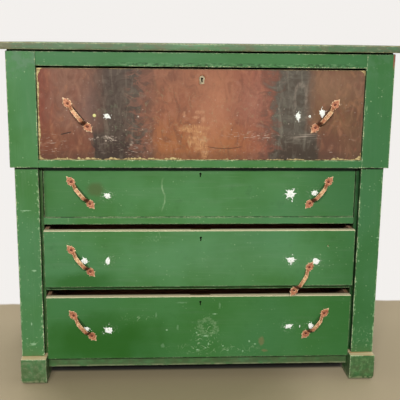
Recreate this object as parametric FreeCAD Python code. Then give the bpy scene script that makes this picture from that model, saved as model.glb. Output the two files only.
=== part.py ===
"""Painted chest of drawers: a deep drawer in an overhanging frieze above three set-back drawers.

X runs to the right as seen from the front, Y to the back and Z up. Sizes are in millimetres.
Depths are counted from the face of the frieze, and the finished pieces are moved so that the
origin is under the middle of the whole chest. Heights are stacked from the floor.
"""
import FreeCAD, Part
import math
import os

os.makedirs("parts", exist_ok=True)

Vector = FreeCAD.Vector
LEFT, RIGHT = -1, 1
SIDES = (LEFT, RIGHT)

# General
overrun = 6.0
edge_wear = 1.5
running_gap = 0.5
match = 0.01

# Case, across: every width is built outwards from the drawer opening
opening_width = 928.0
front_post_width = 76.0
pilaster_reveal = 8.0
stile_setback = 4.0
frieze_end_step = 10.0
top_end_overhang = 20.0

# Case, front to back, counted from the face of the frieze
case_depth = 520.0
top_overhang = 18.0
frieze_thick = 22.0
pilaster_setback = 14.0
pilaster_thick = 22.0
front_post_depth = 45.0
rear_post_width = 50.0
rear_post_depth = 50.0
divider_depth = 60.0
frieze_rail_depth = 70.0

# Case, heights
foot_height = 82.0
base_rail_lift = 37.0
base_rail_height = 34.5
lower_divider_height = 18.5
upper_divider_height = 21.5
frieze_rail_height = 23.0
frieze_top_rail_height = 41.0
top_joint = 3.5
top_thick = 20.5
top_edge_radius = 5.0

# Drawers: front heights, spaces above them and how far each stands open
drawer_1_height = 258.9
drawer_2_height = 150.5
drawer_3_height = 173.6
drawer_4_height = 198.0
space_above_1 = 5.6
space_above_2 = 4.0
space_above_3 = 10.9
space_above_4 = 15.0
drawer_3_ajar = 34.0
drawer_4_ajar = 24.0

# Drawer boards
front_thick = 24.0
side_thick = 11.0
drawer_back_thick = 10.0
side_drop = 3.0
side_play = 1.5
frieze_side_play = 2.0
rear_space = 16.0
back_inset = 6.0
back_housing = 4.0
bottom_lift = 12.0
bottom_tongue = 5.0
bottom_groove = 5.0
bottom_underside = 3.0

# Half-blind dovetails
dovetail_lap = 8.0
tail_share = 0.60
tail_slope_share = 0.16

# Frame joints, side panels, runners, guides and back boards
tenon_length = 14.0
tenon_share = 0.5
side_rail_thick = 22.0
upper_side_rail_height = 65.0
lower_side_rail_height = 78.0
panel_thick = 10.0
panel_groove = 8.0
runner_width = 24.0
runner_thick = 18.0
runner_tongue = 8.0
guide_width = 18.0
guide_height = 22.0
back_thick = 14.0
back_lift = 90.0
back_lap = 8.0
back_joint = 2.0
lower_back_boards = 3
upper_back_boards = 2

# Front feet
foot_projection = 12.0
foot_overhang = 1.0
foot_round = 16.0
foot_block_width = 50.3
foot_strip_lift = 20.0

# Locks and keyholes
lock_width = 60.0
lock_height = 44.0
lock_depth = 11.0
bolt_width = 22.0
bolt_thick = 5.0
bolt_height = 30.0
bolt_margin = 1.5
bolt_play = 0.4
bolt_engagement = 4.0
mortise_play = 1.0
keyhole_radius = 3.4
keyhole_slot = 3.2
keyhole_drop = 10.0
escutcheon_rim = 4.9
escutcheon_inlay = 3.0
escutcheon_proud = 0.5
keyhole_1_drop = 26.4
keyhole_2_drop = 19.4
keyhole_3_drop = 22.0
keyhole_4_drop = 18.4
keyhole_1_shift = -2.6
keyhole_2_shift = -2.0
keyhole_3_shift = -0.5
keyhole_4_shift = 1.0

# Pulls: in from the side of the opening, and up from the lower edge of the drawer front
pull_inset = 109.5
pull_1_lift = 128.0
pull_2_lift = 74.5
pull_3_lift = 82.6
pull_3_right_lift = 92.0
pull_4_lift = 108.0
pull_screw_spacing = 85.0
pull_lean = 50.5
pull_reach = 27.0
grip_bow = 2.2
grip_length = 39.0
grip_width = 11.5
grip_thick = 3.0
grip_bend_radius = 4.0
leg_offset = 8.5
leg_root = 5.5
spade_length = 22.0
spade_width = 25.0
spade_thick = 2.2
screw_radius = 2.0
screw_length = 16.0
screw_head_radius = 3.8

# The loose pull turns on its lower screw and hangs clear of the drawer below
loose_hole_play = 0.3
loose_back_gap = 0.4
loose_tip_space = 1.2

# Half of the spade's outline from the grip to its point: shares of its length from the screw,
# and shares of half its width. The round lobe runs from the neck over its crown to the waist.
spade_root_shares = ((-0.44, 0.44), (-0.40, 0.94), (-0.27, 0.56))
spade_lobe_shares = ((-0.27, 0.56), (0.00, 0.96), (0.29, 0.48))
spade_barb_shares = ((0.29, 0.48), (0.38, 1.00), (0.58, 0.42), (1.00, 0.00))

# Places worked out across the case
half_opening = opening_width / 2
half_lower = half_opening + front_post_width
half_frieze_opening = half_opening + stile_setback
half_frieze = half_lower + frieze_end_step
half_top = half_frieze + top_end_overhang
pull_spread = half_opening - pull_inset
rear_post_inner = half_lower - rear_post_width
side_rail_inner = half_lower - side_rail_thick
frieze_side_inner = half_frieze - frieze_thick

# Places worked out from front to back
drawer_plane = pilaster_setback + pilaster_thick
post_back = drawer_plane + front_post_depth
divider_back = drawer_plane + divider_depth
frame_back = case_depth - back_thick
rear_post_front = frame_back - rear_post_depth

# Heights stacked from the floor
base_rail_top = base_rail_lift + base_rail_height
drawer_4_bottom = base_rail_top + running_gap
lower_divider_bottom = drawer_4_bottom + drawer_4_height + space_above_4
lower_divider_top = lower_divider_bottom + lower_divider_height
drawer_3_bottom = lower_divider_top + running_gap
upper_divider_bottom = drawer_3_bottom + drawer_3_height + space_above_3
upper_divider_top = upper_divider_bottom + upper_divider_height
drawer_2_bottom = upper_divider_top + running_gap
frieze_bottom = drawer_2_bottom + drawer_2_height + space_above_2
frieze_rail_top = frieze_bottom + frieze_rail_height
drawer_1_bottom = frieze_rail_top + running_gap
frieze_opening_top = drawer_1_bottom + drawer_1_height + space_above_1
frieze_top = frieze_opening_top + frieze_top_rail_height
top_underside = frieze_top + top_joint


def box(x_low, x_high, y_low, y_high, z_low, z_high):
    """Block between two corners."""
    corner = Vector(x_low, y_low, z_low)
    return Part.makeBox(x_high - x_low, y_high - y_low, z_high - z_low, corner)


def mirrored(shape):
    """The same shape on the other side of the middle plane."""
    return shape.mirror(Vector(0, 0, 0), Vector(1, 0, 0))


def pair(shape):
    """A right-hand piece and its left-hand twin."""
    return [shape, mirrored(shape)]


def edges_in_plane(shape, axis, place):
    """Edges of a shape that lie where the axis has the given value."""
    found = []
    for edge in shape.Edges:
        low = getattr(edge.BoundBox, axis + "Min")
        high = getattr(edge.BoundBox, axis + "Max")
        if abs(low - place) < match and abs(high - place) < match:
            found.append(edge)
    return found


def worn(shape, face_y):
    """A painted board whose front edges are eased."""
    return shape.makeChamfer(edge_wear, edges_in_plane(shape, "Y", face_y))


def cylinder_y(x, z, radius, y_low, y_high):
    """Round bar along Y."""
    return Part.makeCylinder(radius, y_high - y_low, Vector(x, y_low, z), Vector(0, 1, 0))


def cut_all(shape, others):
    """Shape with the room for every other shape taken out."""
    for other in others:
        shape = shape.cut(other)
    return shape


def outline(corners, radii):
    """Closed wire through 3D corners, each rounded by its own radius."""
    starts, ends, edges = [], [], []
    for index, corner in enumerate(corners):
        before = corners[index - 1] - corner
        after = corners[(index + 1) % len(corners)] - corner
        before.normalize()
        after.normalize()
        half_angle = before.getAngle(after) / 2
        setback = radii[index] / math.tan(half_angle)
        start = corner + before * setback
        end = corner + after * setback
        if radii[index] > 0:
            bisector = (before + after).normalize()
            middle = corner + bisector * (radii[index] / math.sin(half_angle) - radii[index])
            edges.append((index, Part.Arc(start, middle, end).toShape()))
        starts.append(start)
        ends.append(end)
    for index, end in enumerate(ends):
        following = starts[(index + 1) % len(starts)]
        if end.distanceToPoint(following) > match:
            edges.append((index + 1 / 2, Part.LineSegment(end, following).toShape()))
    edges.sort(key=lambda item: item[0])
    return Part.Wire([edge for _, edge in edges])


def offset_line(points, distance):
    """Open line of 2D points moved to its right by a distance, with mitred corners."""
    moved = []
    for index, point in enumerate(points):
        first = points[max(index - 1, 0)]
        last = points[min(index + 1, len(points) - 1)]
        normals = []
        for start, stop in ((first, point), (point, last)):
            run = (stop[0] - start[0], stop[1] - start[1])
            length = math.hypot(*run)
            if length > 0:
                normals.append((run[1] / length, -run[0] / length))
        across = [sum(part) / len(normals) for part in zip(*normals)]
        stretch = distance / (across[0] ** 2 + across[1] ** 2)
        moved.append((point[0] + across[0] * stretch, point[1] + across[1] * stretch))
    return moved


def save(name, solids):
    """Write one node, moved back so that the origin is under the middle of the chest."""
    placed = []
    for solid in solids:
        moved = solid.copy()
        moved.translate(Vector(0, (pull_reach - case_depth) / 2, 0))
        placed.extend(moved.Solids)
    shape = placed[0] if len(placed) == 1 else Part.makeCompound(placed)
    shape.exportStep("parts/" + name + ".step")


class Drawer:
    """One drawer's place in the case and the sizes of its boards."""

    def __init__(self, number, bottom, height, space_above, ajar, tails, lifts, keyhole, rim):
        self.name = "drawer_" + str(number)
        self.in_frieze = number == 1
        self.closed_face = 0 if self.in_frieze else drawer_plane
        opening = half_frieze_opening if self.in_frieze else half_opening
        self.half = opening - (frieze_side_play if self.in_frieze else side_play)
        self.guide_inner = opening
        self.face = self.closed_face - ajar
        self.back_of_front = self.face + front_thick
        self.end = frame_back - rear_space - ajar
        self.bottom = bottom
        self.top = bottom + height
        self.space_above = space_above
        self.side_top = self.top - side_drop
        self.tails = tails
        self.pull_lifts = dict(zip(SIDES, lifts))
        self.keyhole_z = self.top - keyhole[0]
        self.keyhole_x = keyhole[1]
        self.rim = rim


drawer_1 = Drawer(1, drawer_1_bottom, drawer_1_height, space_above_1, 0, 4,
                  (pull_1_lift, pull_1_lift), (keyhole_1_drop, keyhole_1_shift), escutcheon_rim)
drawer_2 = Drawer(2, drawer_2_bottom, drawer_2_height, space_above_2, 0, 3,
                  (pull_2_lift, pull_2_lift), (keyhole_2_drop, keyhole_2_shift), 0)
drawer_3 = Drawer(3, drawer_3_bottom, drawer_3_height, space_above_3, drawer_3_ajar, 3,
                  (pull_3_lift, pull_3_right_lift), (keyhole_3_drop, keyhole_3_shift), 0)
drawer_4 = Drawer(4, drawer_4_bottom, drawer_4_height, space_above_4, drawer_4_ajar, 3,
                  (pull_4_lift, pull_4_lift), (keyhole_4_drop, keyhole_4_shift), 0)
drawers = (drawer_1, drawer_2, drawer_3, drawer_4)


# Drawer boxes

def dovetail_tails(drawer, side):
    """Tails at the front end of a drawer side, as they sit in the drawer front."""
    root = drawer.back_of_front
    nose = drawer.face + dovetail_lap
    pitch = (drawer.side_top - drawer.bottom) / drawer.tails
    half_root = pitch * tail_share / 2
    half_nose = half_root + (root - nose) * tail_slope_share
    x = side * drawer.half
    thickness = Vector(-side * side_thick, 0, 0)
    tails = []
    for index in range(drawer.tails):
        middle = drawer.bottom + pitch * (index + 1 / 2)
        corners = [
            Vector(x, root, middle - half_root),
            Vector(x, nose, middle - half_nose),
            Vector(x, nose, middle + half_nose),
            Vector(x, root, middle + half_root),
        ]
        tails.append(Part.Face(Part.makePolygon(corners + corners[:1])).extrude(thickness))
    return tails


def drawer_bottom(drawer):
    """Bottom board with a thinned tongue in the grooves of the sides and the front."""
    inner = drawer.half - side_thick
    low = drawer.bottom + bottom_lift
    tongue = box(-inner - bottom_groove, inner + bottom_groove,
                 drawer.back_of_front - bottom_groove, drawer.end, low, low + bottom_tongue)
    body = box(-inner, inner, drawer.back_of_front, drawer.end, low - bottom_underside, low)
    return tongue.fuse(body).removeSplitter()


def drawer_back(drawer):
    """Back board, housed in the sides and standing on the bottom board."""
    reach = drawer.half - side_thick + back_housing
    front = drawer.end - back_inset - drawer_back_thick
    low = drawer.bottom + bottom_lift + bottom_tongue
    return box(-reach, reach, front, front + drawer_back_thick, low, drawer.side_top)


def drawer_side(drawer, side):
    """Side board with tails, grooved for the bottom and housed for the back."""
    outer = side * drawer.half
    inner = side * (drawer.half - side_thick)
    board = box(min(outer, inner), max(outer, inner), drawer.back_of_front, drawer.end,
                drawer.bottom, drawer.side_top)
    board = board.fuse(dovetail_tails(drawer, side)).removeSplitter()
    return cut_all(board, (drawer_bottom(drawer), drawer_back(drawer)))


def drawer_front(drawer):
    """Front board with sockets, groove, lock pocket, keyhole and screw holes."""
    board = box(-drawer.half, drawer.half, drawer.face, drawer.back_of_front, drawer.bottom, drawer.top)
    board = worn(board, drawer.face)
    cutters = dovetail_tails(drawer, LEFT) + dovetail_tails(drawer, RIGHT)
    cutters.append(drawer_bottom(drawer))
    cutters.append(lock_block(drawer))
    cutters.append(keyhole_prism(drawer, 0, drawer.face - overrun, drawer.back_of_front - lock_depth))
    if drawer.rim:
        cutters.append(keyhole_prism(drawer, drawer.rim, drawer.face - overrun,
                                     drawer.face + escutcheon_inlay))
    for side in SIDES:
        for x, z in screw_places(drawer, side):
            cutters.append(cylinder_y(x, z, screw_radius, drawer.face - overrun, drawer.face + screw_length))
    return cut_all(board, cutters)


# Locks

def keyhole_prism(drawer, grow, y_low, y_high):
    """Keyhole outline, grown all round, along Y."""
    x, z = drawer.keyhole_x, drawer.keyhole_z
    head = cylinder_y(x, z, keyhole_radius + grow, y_low, y_high)
    half_slot = keyhole_slot / 2 + grow
    slot = box(x - half_slot, x + half_slot, y_low, y_high, z - keyhole_drop - grow, z)
    return head.fuse(slot).removeSplitter()


def lock_block(drawer):
    """Outside of the half-mortise lock, let into the inner face and the top edge."""
    x = drawer.keyhole_x
    return box(x - lock_width / 2, x + lock_width / 2, drawer.back_of_front - lock_depth,
               drawer.back_of_front, drawer.top - lock_height, drawer.top)


def bolt_block(drawer, grow, z_low, z_high):
    """Space of the lock bolt, grown sideways, between two heights."""
    x = drawer.keyhole_x
    front = drawer.back_of_front - lock_depth + bolt_margin
    return box(x - bolt_width / 2 - grow, x + bolt_width / 2 + grow,
               front - grow, front + bolt_thick + grow, z_low, z_high)


def lock_bolt(drawer):
    """Bolt drawn down flush with the top edge of the front."""
    top = drawer.top - running_gap
    return bolt_block(drawer, 0, top - bolt_height, top)


def drawer_lock(drawer):
    """Lock case with its bolt channel, and the escutcheon if the drawer has one."""
    floor = drawer.top - running_gap - bolt_height - bolt_play
    case = lock_block(drawer).cut(bolt_block(drawer, bolt_play, floor, drawer.top + overrun))
    if not drawer.rim:
        return [case]
    low = drawer.face - escutcheon_proud
    high = drawer.face + escutcheon_inlay
    ring = keyhole_prism(drawer, drawer.rim, low, high).cut(
        keyhole_prism(drawer, 0, low - overrun, high + overrun))
    return [case, ring]


def bolt_mortise(drawer):
    """Hole for the raised bolt in the rail above the closed drawer."""
    rail_low = drawer.top + drawer.space_above
    mortise = bolt_block(drawer, mortise_play, rail_low - overrun,
                         rail_low + bolt_engagement + mortise_play)
    mortise.translate(Vector(0, drawer.closed_face - drawer.face, 0))
    return mortise


# Pulls

def pull_angle():
    """Slope of the pulls' screw lines from level, in radians."""
    return math.radians(pull_lean)


def screw_places(drawer, side):
    """X and Z of a pull's lower inner screw and its upper outer screw."""
    half = pull_screw_spacing / 2
    run = half * math.cos(pull_angle())
    rise = half * math.sin(pull_angle())
    z = drawer.bottom + drawer.pull_lifts[side]
    return ((side * (pull_spread - run), z - rise), (side * (pull_spread + run), z + rise))


def spade_edges(hand):
    """Edges of the spade's outline on one hand, from the grip to the point."""
    def place(share):
        return Vector(share[0] * spade_length, 0, hand * share[1] * spade_width / 2)

    root = [place(share) for share in spade_root_shares]
    barb = [place(share) for share in spade_barb_shares]
    lobe = Part.Arc(*[place(share) for share in spade_lobe_shares]).toShape()
    edges = Part.makePolygon(root).Edges + [lobe] + Part.makePolygon(barb).Edges
    return edges


def screw_head(grow, under):
    """Countersunk head about the Y axis, grown sideways, its small end at Y = under."""
    return Part.makeCone(screw_radius + grow, screw_head_radius + grow, spade_thick,
                         Vector(0, under, 0), Vector(0, -1, 0))


def spade_plate(play):
    """Arrow-ended foot plate, countersunk at the origin, pointing along +X, thickness along -Y."""
    half_root = spade_root_shares[0][1] * spade_width / 2
    root_x = spade_root_shares[0][0] * spade_length
    root = Part.LineSegment(Vector(root_x, 0, -half_root), Vector(root_x, 0, half_root)).toShape()
    wire = Part.Wire(Part.__sortEdges__([root] + spade_edges(LEFT) + spade_edges(RIGHT)))
    plate = Part.Face(wire).extrude(Vector(0, -spade_thick, 0))
    return plate.cut(screw_head(play, 0))


def grip_strap():
    """Bent strap between two foot plates, its middle at the origin, along X and standing out along -Y."""
    root = pull_screw_spacing / 2 - leg_root
    leg = pull_screw_spacing / 2 - leg_offset
    crest = grip_length / 2
    shoulder = pull_reach - grip_bow
    outer = [(-root, grip_thick), (-leg, grip_thick), (-crest, shoulder), (0, pull_reach),
             (crest, shoulder), (leg, grip_thick), (root, grip_thick)]
    inner = offset_line(outer, grip_thick)
    tight = grip_bend_radius
    wide = grip_bend_radius + grip_thick
    radii = [0, 0, wide, 0, wide, 0, 0]
    inner_radii = [0, 0, tight, 0, tight, 0, 0]
    points = outer + inner[::-1]
    half = grip_width / 2
    wire = outline([Vector(along, -out, -half) for along, out in points], radii + inner_radii[::-1])
    return Part.Face(wire).extrude(Vector(0, 0, grip_width))


def pull_shape(play):
    """Whole pull along X, its back in the plane Y = 0, with play round the screw at its -X end."""
    half = pull_screw_spacing / 2
    high_end = spade_plate(0)
    high_end.translate(Vector(half, 0, 0))
    low_end = mirrored(spade_plate(play))
    low_end.translate(Vector(-half, 0, 0))
    return grip_strap().fuse([high_end, low_end]).removeSplitter()


def fixed_pull(drawer, side):
    """Pull screwed flat to the face, rising outwards."""
    pull = pull_shape(0)
    pull.rotate(Vector(0, 0, 0), Vector(0, -1, 0), pull_lean)
    pull.translate(Vector(pull_spread, drawer.face, drawer.bottom + drawer.pull_lifts[side]))
    return pull if side == RIGHT else mirrored(pull)


def hang_angle(drawer, below):
    """Degrees below level at which the loose pull's point clears the drawer below."""
    pivot_z = screw_places(drawer, RIGHT)[0][1]
    drop = pivot_z - below.top - loose_tip_space
    return math.degrees(math.asin(drop / (pull_screw_spacing + spade_length)))


def loose_pull(drawer, below):
    """Pull that has lost its upper screw and has swung down about the lower one."""
    pull = pull_shape(loose_hole_play)
    pull.translate(Vector(pull_screw_spacing / 2, 0, 0))
    pull.rotate(Vector(0, 0, 0), Vector(0, -1, 0), 180 + hang_angle(drawer, below))
    x, z = screw_places(drawer, RIGHT)[0]
    pull.translate(Vector(x, drawer.face - loose_back_gap, z))
    return pull


def countersunk_screw(x, z, face, lift):
    """Wood screw with its head in the foot plate, and lifted with a loose plate."""
    under = face - lift
    head = screw_head(0, under)
    head.translate(Vector(x, 0, z))
    shank = cylinder_y(x, z, screw_radius, under, face + screw_length)
    return head.fuse(shank).removeSplitter()


def pull_screws(drawer):
    """Screws of a drawer's two pulls; the loose pull keeps only its lower one."""
    screws = []
    for side in SIDES:
        loose = drawer is drawer_3 and side == RIGHT
        lift = loose_back_gap if loose else 0
        places = screw_places(drawer, side)
        for x, z in places[:1] if loose else places:
            screws.append(countersunk_screw(x, z, drawer.face, lift))
    return screws


# Case

def front_rail(half_width, y_low, y_high, z_low, z_high):
    """Rail across the front with a stub tenon at each end."""
    height = z_high - z_low
    depth = y_high - y_low
    rail = worn(box(-half_width, half_width, y_low, y_high, z_low, z_high), y_low)
    tenon_inset = height * (1 - tenon_share) / 2
    tenon_depth = min(depth, front_post_depth) * tenon_share
    tenon_y = y_low + min(depth, front_post_depth) * (1 - tenon_share) / 2
    tenons = box(-half_width - tenon_length, half_width + tenon_length, tenon_y, tenon_y + tenon_depth,
                 z_low + tenon_inset, z_high - tenon_inset)
    return rail.fuse(tenons).removeSplitter()


def side_rail(z_low, z_high):
    """Right-hand rail between a front and a rear post, with tenons."""
    inset = (z_high - z_low) * (1 - tenon_share) / 2
    cheek = side_rail_thick * (1 - tenon_share) / 2
    body = box(side_rail_inner, half_lower, post_back, rear_post_front, z_low, z_high)
    tenon = box(side_rail_inner + cheek, half_lower - cheek, post_back - tenon_length,
                rear_post_front + tenon_length, z_low + inset, z_high - inset)
    return body.fuse(tenon).removeSplitter().cut(side_panel())


def side_panel():
    """Right-hand panel, held in grooves of the posts and the side rails."""
    middle = (side_rail_inner + half_lower) / 2
    return box(middle - panel_thick / 2, middle + panel_thick / 2,
               post_back - panel_groove, rear_post_front + panel_groove,
               foot_height + lower_side_rail_height - panel_groove,
               frieze_bottom - upper_side_rail_height + panel_groove)


def runner(rail_top, rail_back, outer, inner, thick):
    """Right-hand runner under a drawer side, tongued into the rail in front of it."""
    low = rail_top - thick
    board = box(inner, outer, rail_back, frame_back, low, rail_top)
    tongue = box(inner, half_opening - running_gap, rail_back - runner_tongue, rail_back,
                 low + thick / 3, rail_top - thick / 3)
    return board.fuse(tongue).removeSplitter()


def front_foot(side):
    """Block foot with rounded lower edges; the left one is glued up from a block and a strip."""
    outer = half_lower + foot_overhang
    seam = outer - foot_block_width
    front = -foot_projection
    if side == RIGHT:
        return [rounded_foot(half_opening, outer, front, 0)]
    block = rounded_foot(seam, outer, front, 0)
    strip = rounded_foot(half_opening, seam, front, foot_strip_lift)
    return [mirrored(block), mirrored(strip)]


def rounded_foot(x_low, x_high, front, z_low):
    """Foot block with its lower front and outer edges rounded over."""
    block = box(x_low, x_high, front, post_back, z_low, foot_height)
    rims = edges_in_plane(block, "Z", z_low)
    chosen = [edge for edge in rims if edge.BoundBox.YMax < front + match]
    if x_high > half_lower:
        chosen += [edge for edge in rims if edge.BoundBox.XMin > half_lower]
    return block.makeFillet(foot_round, chosen)


def back_board(half_width, z_low, z_high, lapped_above, lapped_below):
    """Horizontal back board, rebated to lap its neighbours with an open joint behind."""
    middle = (frame_back + case_depth) / 2
    inner_low = z_low + (back_lap if lapped_below else 0)
    inner_high = z_high + (back_lap if lapped_above else 0)
    outer_low = z_low + (back_joint if lapped_below else 0)
    inner = box(-half_width, half_width, frame_back, middle, inner_low, inner_high)
    outer = box(-half_width, half_width, middle, case_depth, outer_low, z_high)
    return inner.fuse(outer).removeSplitter()


def back_boards():
    """All back boards, narrow ones behind the drawers and wide ones behind the frieze."""
    boards = []
    total = lower_back_boards + upper_back_boards
    lower_step = (frieze_bottom - back_lift) / lower_back_boards
    upper_step = (top_underside - frieze_bottom) / upper_back_boards
    low = back_lift
    for index in range(total):
        narrow = index < lower_back_boards
        high = low + (lower_step if narrow else upper_step)
        boards.append(back_board(half_lower if narrow else half_frieze, low, high,
                                 index < total - 1, index > 0))
        low = high
    return boards


def top_board():
    """Top with its front and end edges rounded."""
    board = box(-half_top, half_top, -top_overhang, case_depth, top_underside, top_underside + top_thick)
    rims = []
    for edge in board.Edges:
        level = edge.BoundBox.ZMax - edge.BoundBox.ZMin < match
        if level and edge.BoundBox.YMin < case_depth - match:
            rims.append(edge)
    return board.makeFillet(top_edge_radius, rims)


def build_case():
    """Every fixed piece of the case, by node name."""
    base_rail = front_rail(half_opening, drawer_plane, divider_back, base_rail_lift, base_rail_top)
    lower_divider = front_rail(half_opening, drawer_plane, divider_back,
                               lower_divider_bottom, lower_divider_top).cut(bolt_mortise(drawer_4))
    upper_divider = front_rail(half_opening, drawer_plane, divider_back,
                               upper_divider_bottom, upper_divider_top).cut(bolt_mortise(drawer_3))
    frieze_rail = front_rail(half_frieze_opening, 0, frieze_rail_depth,
                             frieze_bottom, frieze_rail_top).cut(bolt_mortise(drawer_2))
    top_rail = front_rail(half_frieze_opening, 0, frieze_thick,
                          frieze_opening_top, frieze_top).cut(bolt_mortise(drawer_1))
    stile = worn(box(half_frieze_opening, half_frieze, 0, frieze_thick, frieze_bottom, frieze_top), 0)
    stile = cut_all(stile, (frieze_rail, top_rail))

    panel = side_panel()
    side_rails = [side_rail(frieze_bottom - upper_side_rail_height, frieze_bottom),
                  side_rail(foot_height, foot_height + lower_side_rail_height)]
    front_post = box(half_opening, half_lower, drawer_plane, post_back, foot_height, frieze_bottom)
    front_post = cut_all(front_post, [upper_divider, lower_divider, panel] + side_rails)
    pilaster = box(half_opening + pilaster_reveal, half_lower, pilaster_setback, drawer_plane,
                   foot_height, frieze_bottom)
    pilaster = worn(pilaster, pilaster_setback)

    runners, guides = [], []
    rail_tops = (frieze_rail_top, upper_divider_top, lower_divider_top, base_rail_top)
    for drawer, rail_top in zip(drawers, rail_tops):
        inner = half_opening - runner_width
        if drawer.in_frieze:
            runners.append(runner(rail_top, frieze_rail_depth, frieze_side_inner, inner, frieze_rail_height))
            guide_start, guide_stop = frieze_rail_depth, frame_back
        else:
            runners.append(runner(rail_top, divider_back, side_rail_inner, inner, runner_thick))
            guide_start, guide_stop = divider_back, rear_post_front
        guides.append(box(drawer.guide_inner, drawer.guide_inner + guide_width, guide_start, guide_stop,
                          rail_top, rail_top + guide_height))
    rear_post = box(rear_post_inner, half_lower, rear_post_front, frame_back, 0, frieze_bottom)
    rear_post = cut_all(rear_post, [panel] + side_rails)
    runners = [piece.cut(rear_post) for piece in runners]

    both = [mirrored(piece) for piece in runners] + runners
    feet = {"left": front_foot(LEFT), "right": front_foot(RIGHT)}
    foot_solids = feet["left"] + feet["right"]
    return {
        "top_board": [top_board()],
        "frieze_stiles": pair(stile),
        "frieze_top_rail": [top_rail],
        "frieze_bottom_rail": [cut_all(frieze_rail, both)],
        "frieze_sides": pair(box(frieze_side_inner, half_frieze, frieze_thick, frame_back,
                                 frieze_bottom, top_underside)),
        "front_post_left": [mirrored(front_post)],
        "front_post_right": [front_post],
        "pilaster_left": [mirrored(pilaster)],
        "pilaster_right": [pilaster],
        "rear_posts": pair(rear_post),
        "side_panels": pair(panel),
        "side_rails": pair(side_rails[0]) + pair(side_rails[1]),
        "divider_rail_upper": [cut_all(upper_divider, both)],
        "divider_rail_lower": [cut_all(lower_divider, both)],
        "base_rail": [cut_all(base_rail, both)],
        "back_boards": back_boards(),
        "front_foot_left": [solid.cut(base_rail) for solid in feet["left"]],
        "front_foot_right": [solid.cut(base_rail) for solid in feet["right"]],
        "drawer_runners": cut_from_each(both, foot_solids),
        "drawer_guides": [mirrored(piece) for piece in guides] + guides,
    }


def cut_from_each(solids, others):
    """Each solid with the room for the others taken out."""
    return [cut_all(solid, others) for solid in solids]


def build_drawer(drawer):
    """Every piece of one drawer, by node name."""
    loose = drawer is drawer_3
    return {
        drawer.name + "_front": [drawer_front(drawer)],
        drawer.name + "_side_left": [drawer_side(drawer, LEFT)],
        drawer.name + "_side_right": [drawer_side(drawer, RIGHT)],
        drawer.name + "_back": [drawer_back(drawer)],
        drawer.name + "_bottom": [drawer_bottom(drawer)],
        drawer.name + "_pull_left": [fixed_pull(drawer, LEFT)],
        drawer.name + "_pull_right": [loose_pull(drawer, drawer_4) if loose else fixed_pull(drawer, RIGHT)],
        drawer.name + "_pull_screws": pull_screws(drawer),
        drawer.name + "_lock": drawer_lock(drawer),
        drawer.name + "_lock_bolt": [lock_bolt(drawer)],
    }


nodes = build_case()
for chest_drawer in drawers:
    nodes.update(build_drawer(chest_drawer))
for node_name, node_solids in nodes.items():
    save(node_name, node_solids)

loose_pivot_x, loose_pivot_z = screw_places(drawer_3, RIGHT)[0]
print("nodes", len(nodes), "front face of the frieze at Y", (pull_reach - case_depth) / 2)
print("loose pull pivot", round(loose_pivot_x, 3), round(loose_pivot_z, 3),
      "hang angle", round(hang_angle(drawer_3, drawer_4), 3))
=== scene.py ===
"""Painted chest of drawers: worn green paint, a veneered top drawer, cast pulls and dabs of filler.

Metres, with X to the right as seen from the front, Y to the back and Z up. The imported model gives
every board's size and place, and the pieces made here stand where its boards are.
"""

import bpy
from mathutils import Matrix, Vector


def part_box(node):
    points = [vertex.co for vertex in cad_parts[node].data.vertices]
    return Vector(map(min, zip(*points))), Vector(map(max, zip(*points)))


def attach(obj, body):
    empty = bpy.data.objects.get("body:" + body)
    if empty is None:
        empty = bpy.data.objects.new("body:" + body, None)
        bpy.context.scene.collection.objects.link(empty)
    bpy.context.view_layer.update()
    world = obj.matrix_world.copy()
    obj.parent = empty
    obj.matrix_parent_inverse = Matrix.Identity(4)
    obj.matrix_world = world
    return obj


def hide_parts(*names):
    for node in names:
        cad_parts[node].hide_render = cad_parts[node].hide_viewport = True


bl_info = {
    "name": "Worn Painted Dresser",
    "version": (1, 0, 0),
    "blender": (4, 5, 0),
    "location": "View3D > Sidebar > Dresser",
    "description": "Builds the boards, pulls and finishes of an old painted chest of drawers",
    "category": "Object",
}

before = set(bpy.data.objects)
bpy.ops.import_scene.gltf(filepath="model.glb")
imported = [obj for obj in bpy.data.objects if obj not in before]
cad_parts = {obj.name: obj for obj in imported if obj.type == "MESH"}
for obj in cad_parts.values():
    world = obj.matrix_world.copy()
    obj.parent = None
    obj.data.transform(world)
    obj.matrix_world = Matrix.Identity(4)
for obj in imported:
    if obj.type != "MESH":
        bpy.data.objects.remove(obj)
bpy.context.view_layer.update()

import itertools
import math
import random

import bmesh
import bpy
import numpy as np
from mathutils import Matrix, Vector, kdtree

mm = 0.001
DRAWERS = (1, 2, 3, 4)
SIDES = {"left": -1, "right": 1}
WELD = 0.01 * mm
SINK = 0.2 * mm
OVERRUN = 6 * mm
SHARP_ANGLE = math.radians(32)
NOISE_WEAVE = np.array((12.9898, 78.233, 37.719))
NOISE_SPREAD = 43758.5453
SEED_SHIFT = 17.31
GOLDEN_SHARE = 0.618
MIDDLE_SPAN = 200 * mm
CHIP_START = 0.74
WARP_CELL = 130 * mm
ROUNDING_SHARE = 0.45
HAMMER_CELL = 3.5 * mm
SEAT_REACH = 4 * mm
RIM_RISE = 0.5 * mm
PULL_LEAN = math.radians(50.5)
KEYHOLE_DROPS = {1: 26.4 * mm, 2: 19.4 * mm, 3: 22.0 * mm, 4: 18.4 * mm}
HOLE_DEPTH = 16 * mm
LINING_DEPTH = 3 * mm
SHEET_WHITE = (243, 240, 237)
SENSOR_WIDTH = 36
LAMP_PLACE = (-0.45, -5.40, 2.90)
LAMP_AIM = (0, -0.2, 0.6)
FLOOR_REACH = 9.0
FLOOR_RINGS = 10
FLOOR_TURNS = 48


def tone(red, green, blue):
    """A colour given in 8-bit steps, as the colour properties keep it."""
    return (red / 255, green / 255, blue / 255)


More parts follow.
